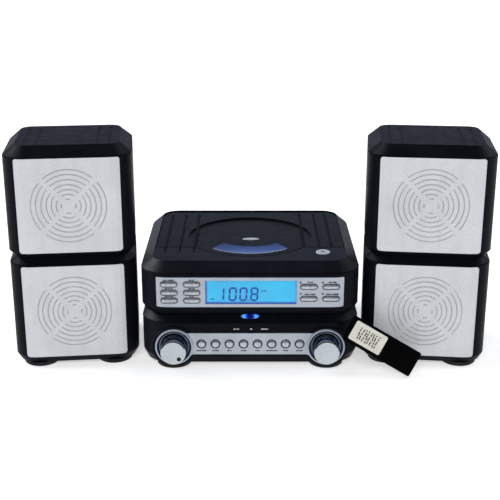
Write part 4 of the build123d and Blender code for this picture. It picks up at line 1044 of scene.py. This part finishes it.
# a studio with a bright table below, a dim room in front and a soft pale wall behind
front_half = world_ramp([(0.0, 0.86), (0.44, 0.86), (0.50, 0.36), (0.53, 0.08), (0.72, 0.08), (0.84, 0.07), (1.0, 0.05)], (0.9, 0.95, 1.1))
back_half = world_ramp([(0.0, 0.86), (0.44, 0.86), (0.50, 0.45), (0.54, 0.33), (0.70, 0.34), (0.80, 0.16), (1.0, 0.05)], (0.84, 0.92, 1.22))
wf = wt.nodes.new("ShaderNodeMapRange")
wf.inputs["From Min"].default_value = -0.15
wf.inputs["From Max"].default_value = 0.35
wt.links.new(ws.outputs["Y"], wf.inputs["Value"])
wx = wt.nodes.new("ShaderNodeMix")
wx.data_type = "RGBA"
wt.links.new(wf.outputs["Result"], wx.inputs[0])
wt.links.new(front_half, wx.inputs[6])
wt.links.new(back_half, wx.inputs[7])
wt.links.new(wx.outputs[2], wt.nodes["Background"].inputs["Color"])


def area(name, loc, target, size, energy, color=(1, 1, 1), size_y=None):
    li = bpy.data.lights.new(name, "AREA")
    li.energy = energy
    li.color = color
    li.shape = "RECTANGLE"
    li.size = size
    li.size_y = size_y or size
    ob = bpy.data.objects.new(name, li)
    ob.location = loc
    d = Vector(target) - Vector(loc)
    ob.rotation_euler = d.to_track_quat("-Z", "Y").to_euler()
    bpy.context.scene.collection.objects.link(ob)


def sun(name, direction, strength, angle):
    li = bpy.data.lights.new(name, "SUN")
    li.energy = strength
    li.angle = math.radians(angle)
    ob = bpy.data.objects.new(name, li)
    ob.rotation_euler = Vector(direction).to_track_quat("-Z", "Y").to_euler()
    bpy.context.scene.collection.objects.link(ob)
    return ob


sun("soft_key", (0.72, -0.30, -0.78), 1.7, 42)
sun("soft_right", (-0.75, -0.35, -0.75), 0.8, 42)
sun("soft_front", (0.12, 0.95, -0.62), 1.6, 40).visible_glossy = False


def edge_light(name, direction, strength, angle, names):
    """A soft light that picks out the slanted edges of the named pieces only."""
    ob = sun(name, direction, strength, angle)
    lit = bpy.data.collections.new(name + "_lit")
    for n in names:
        lit.objects.link(NODES[n])
    shade = bpy.data.collections.new(name + "_shade")
    for o in list(lit.objects):
        shade.objects.link(o)
    ob.light_linking.receiver_collection = lit
    ob.light_linking.blocker_collection = shade


edge_light("edge_left", (0.78, -0.34, -0.52), 8.0, 36, ("upper_case", "lower_case"))
edge_light("edge_right", (-0.78, -0.34, -0.52), 2.4, 36, ("upper_case", "lower_case"))

cam = bpy.data.cameras.new("view")
cam.lens = 74.1
cam.sensor_width = 36.0
cam.sensor_fit = "HORIZONTAL"
cam.clip_start = 0.05
cam.clip_end = 50
co = bpy.data.objects.new("view", cam)
co.location = (0.0, -1.0839, 0.4737)
co.rotation_euler = (math.radians(90 - 18.97), 0, 0)
bpy.context.scene.collection.objects.link(co)
bpy.context.scene.camera = co
bpy.context.scene.view_settings.view_transform = "Standard"
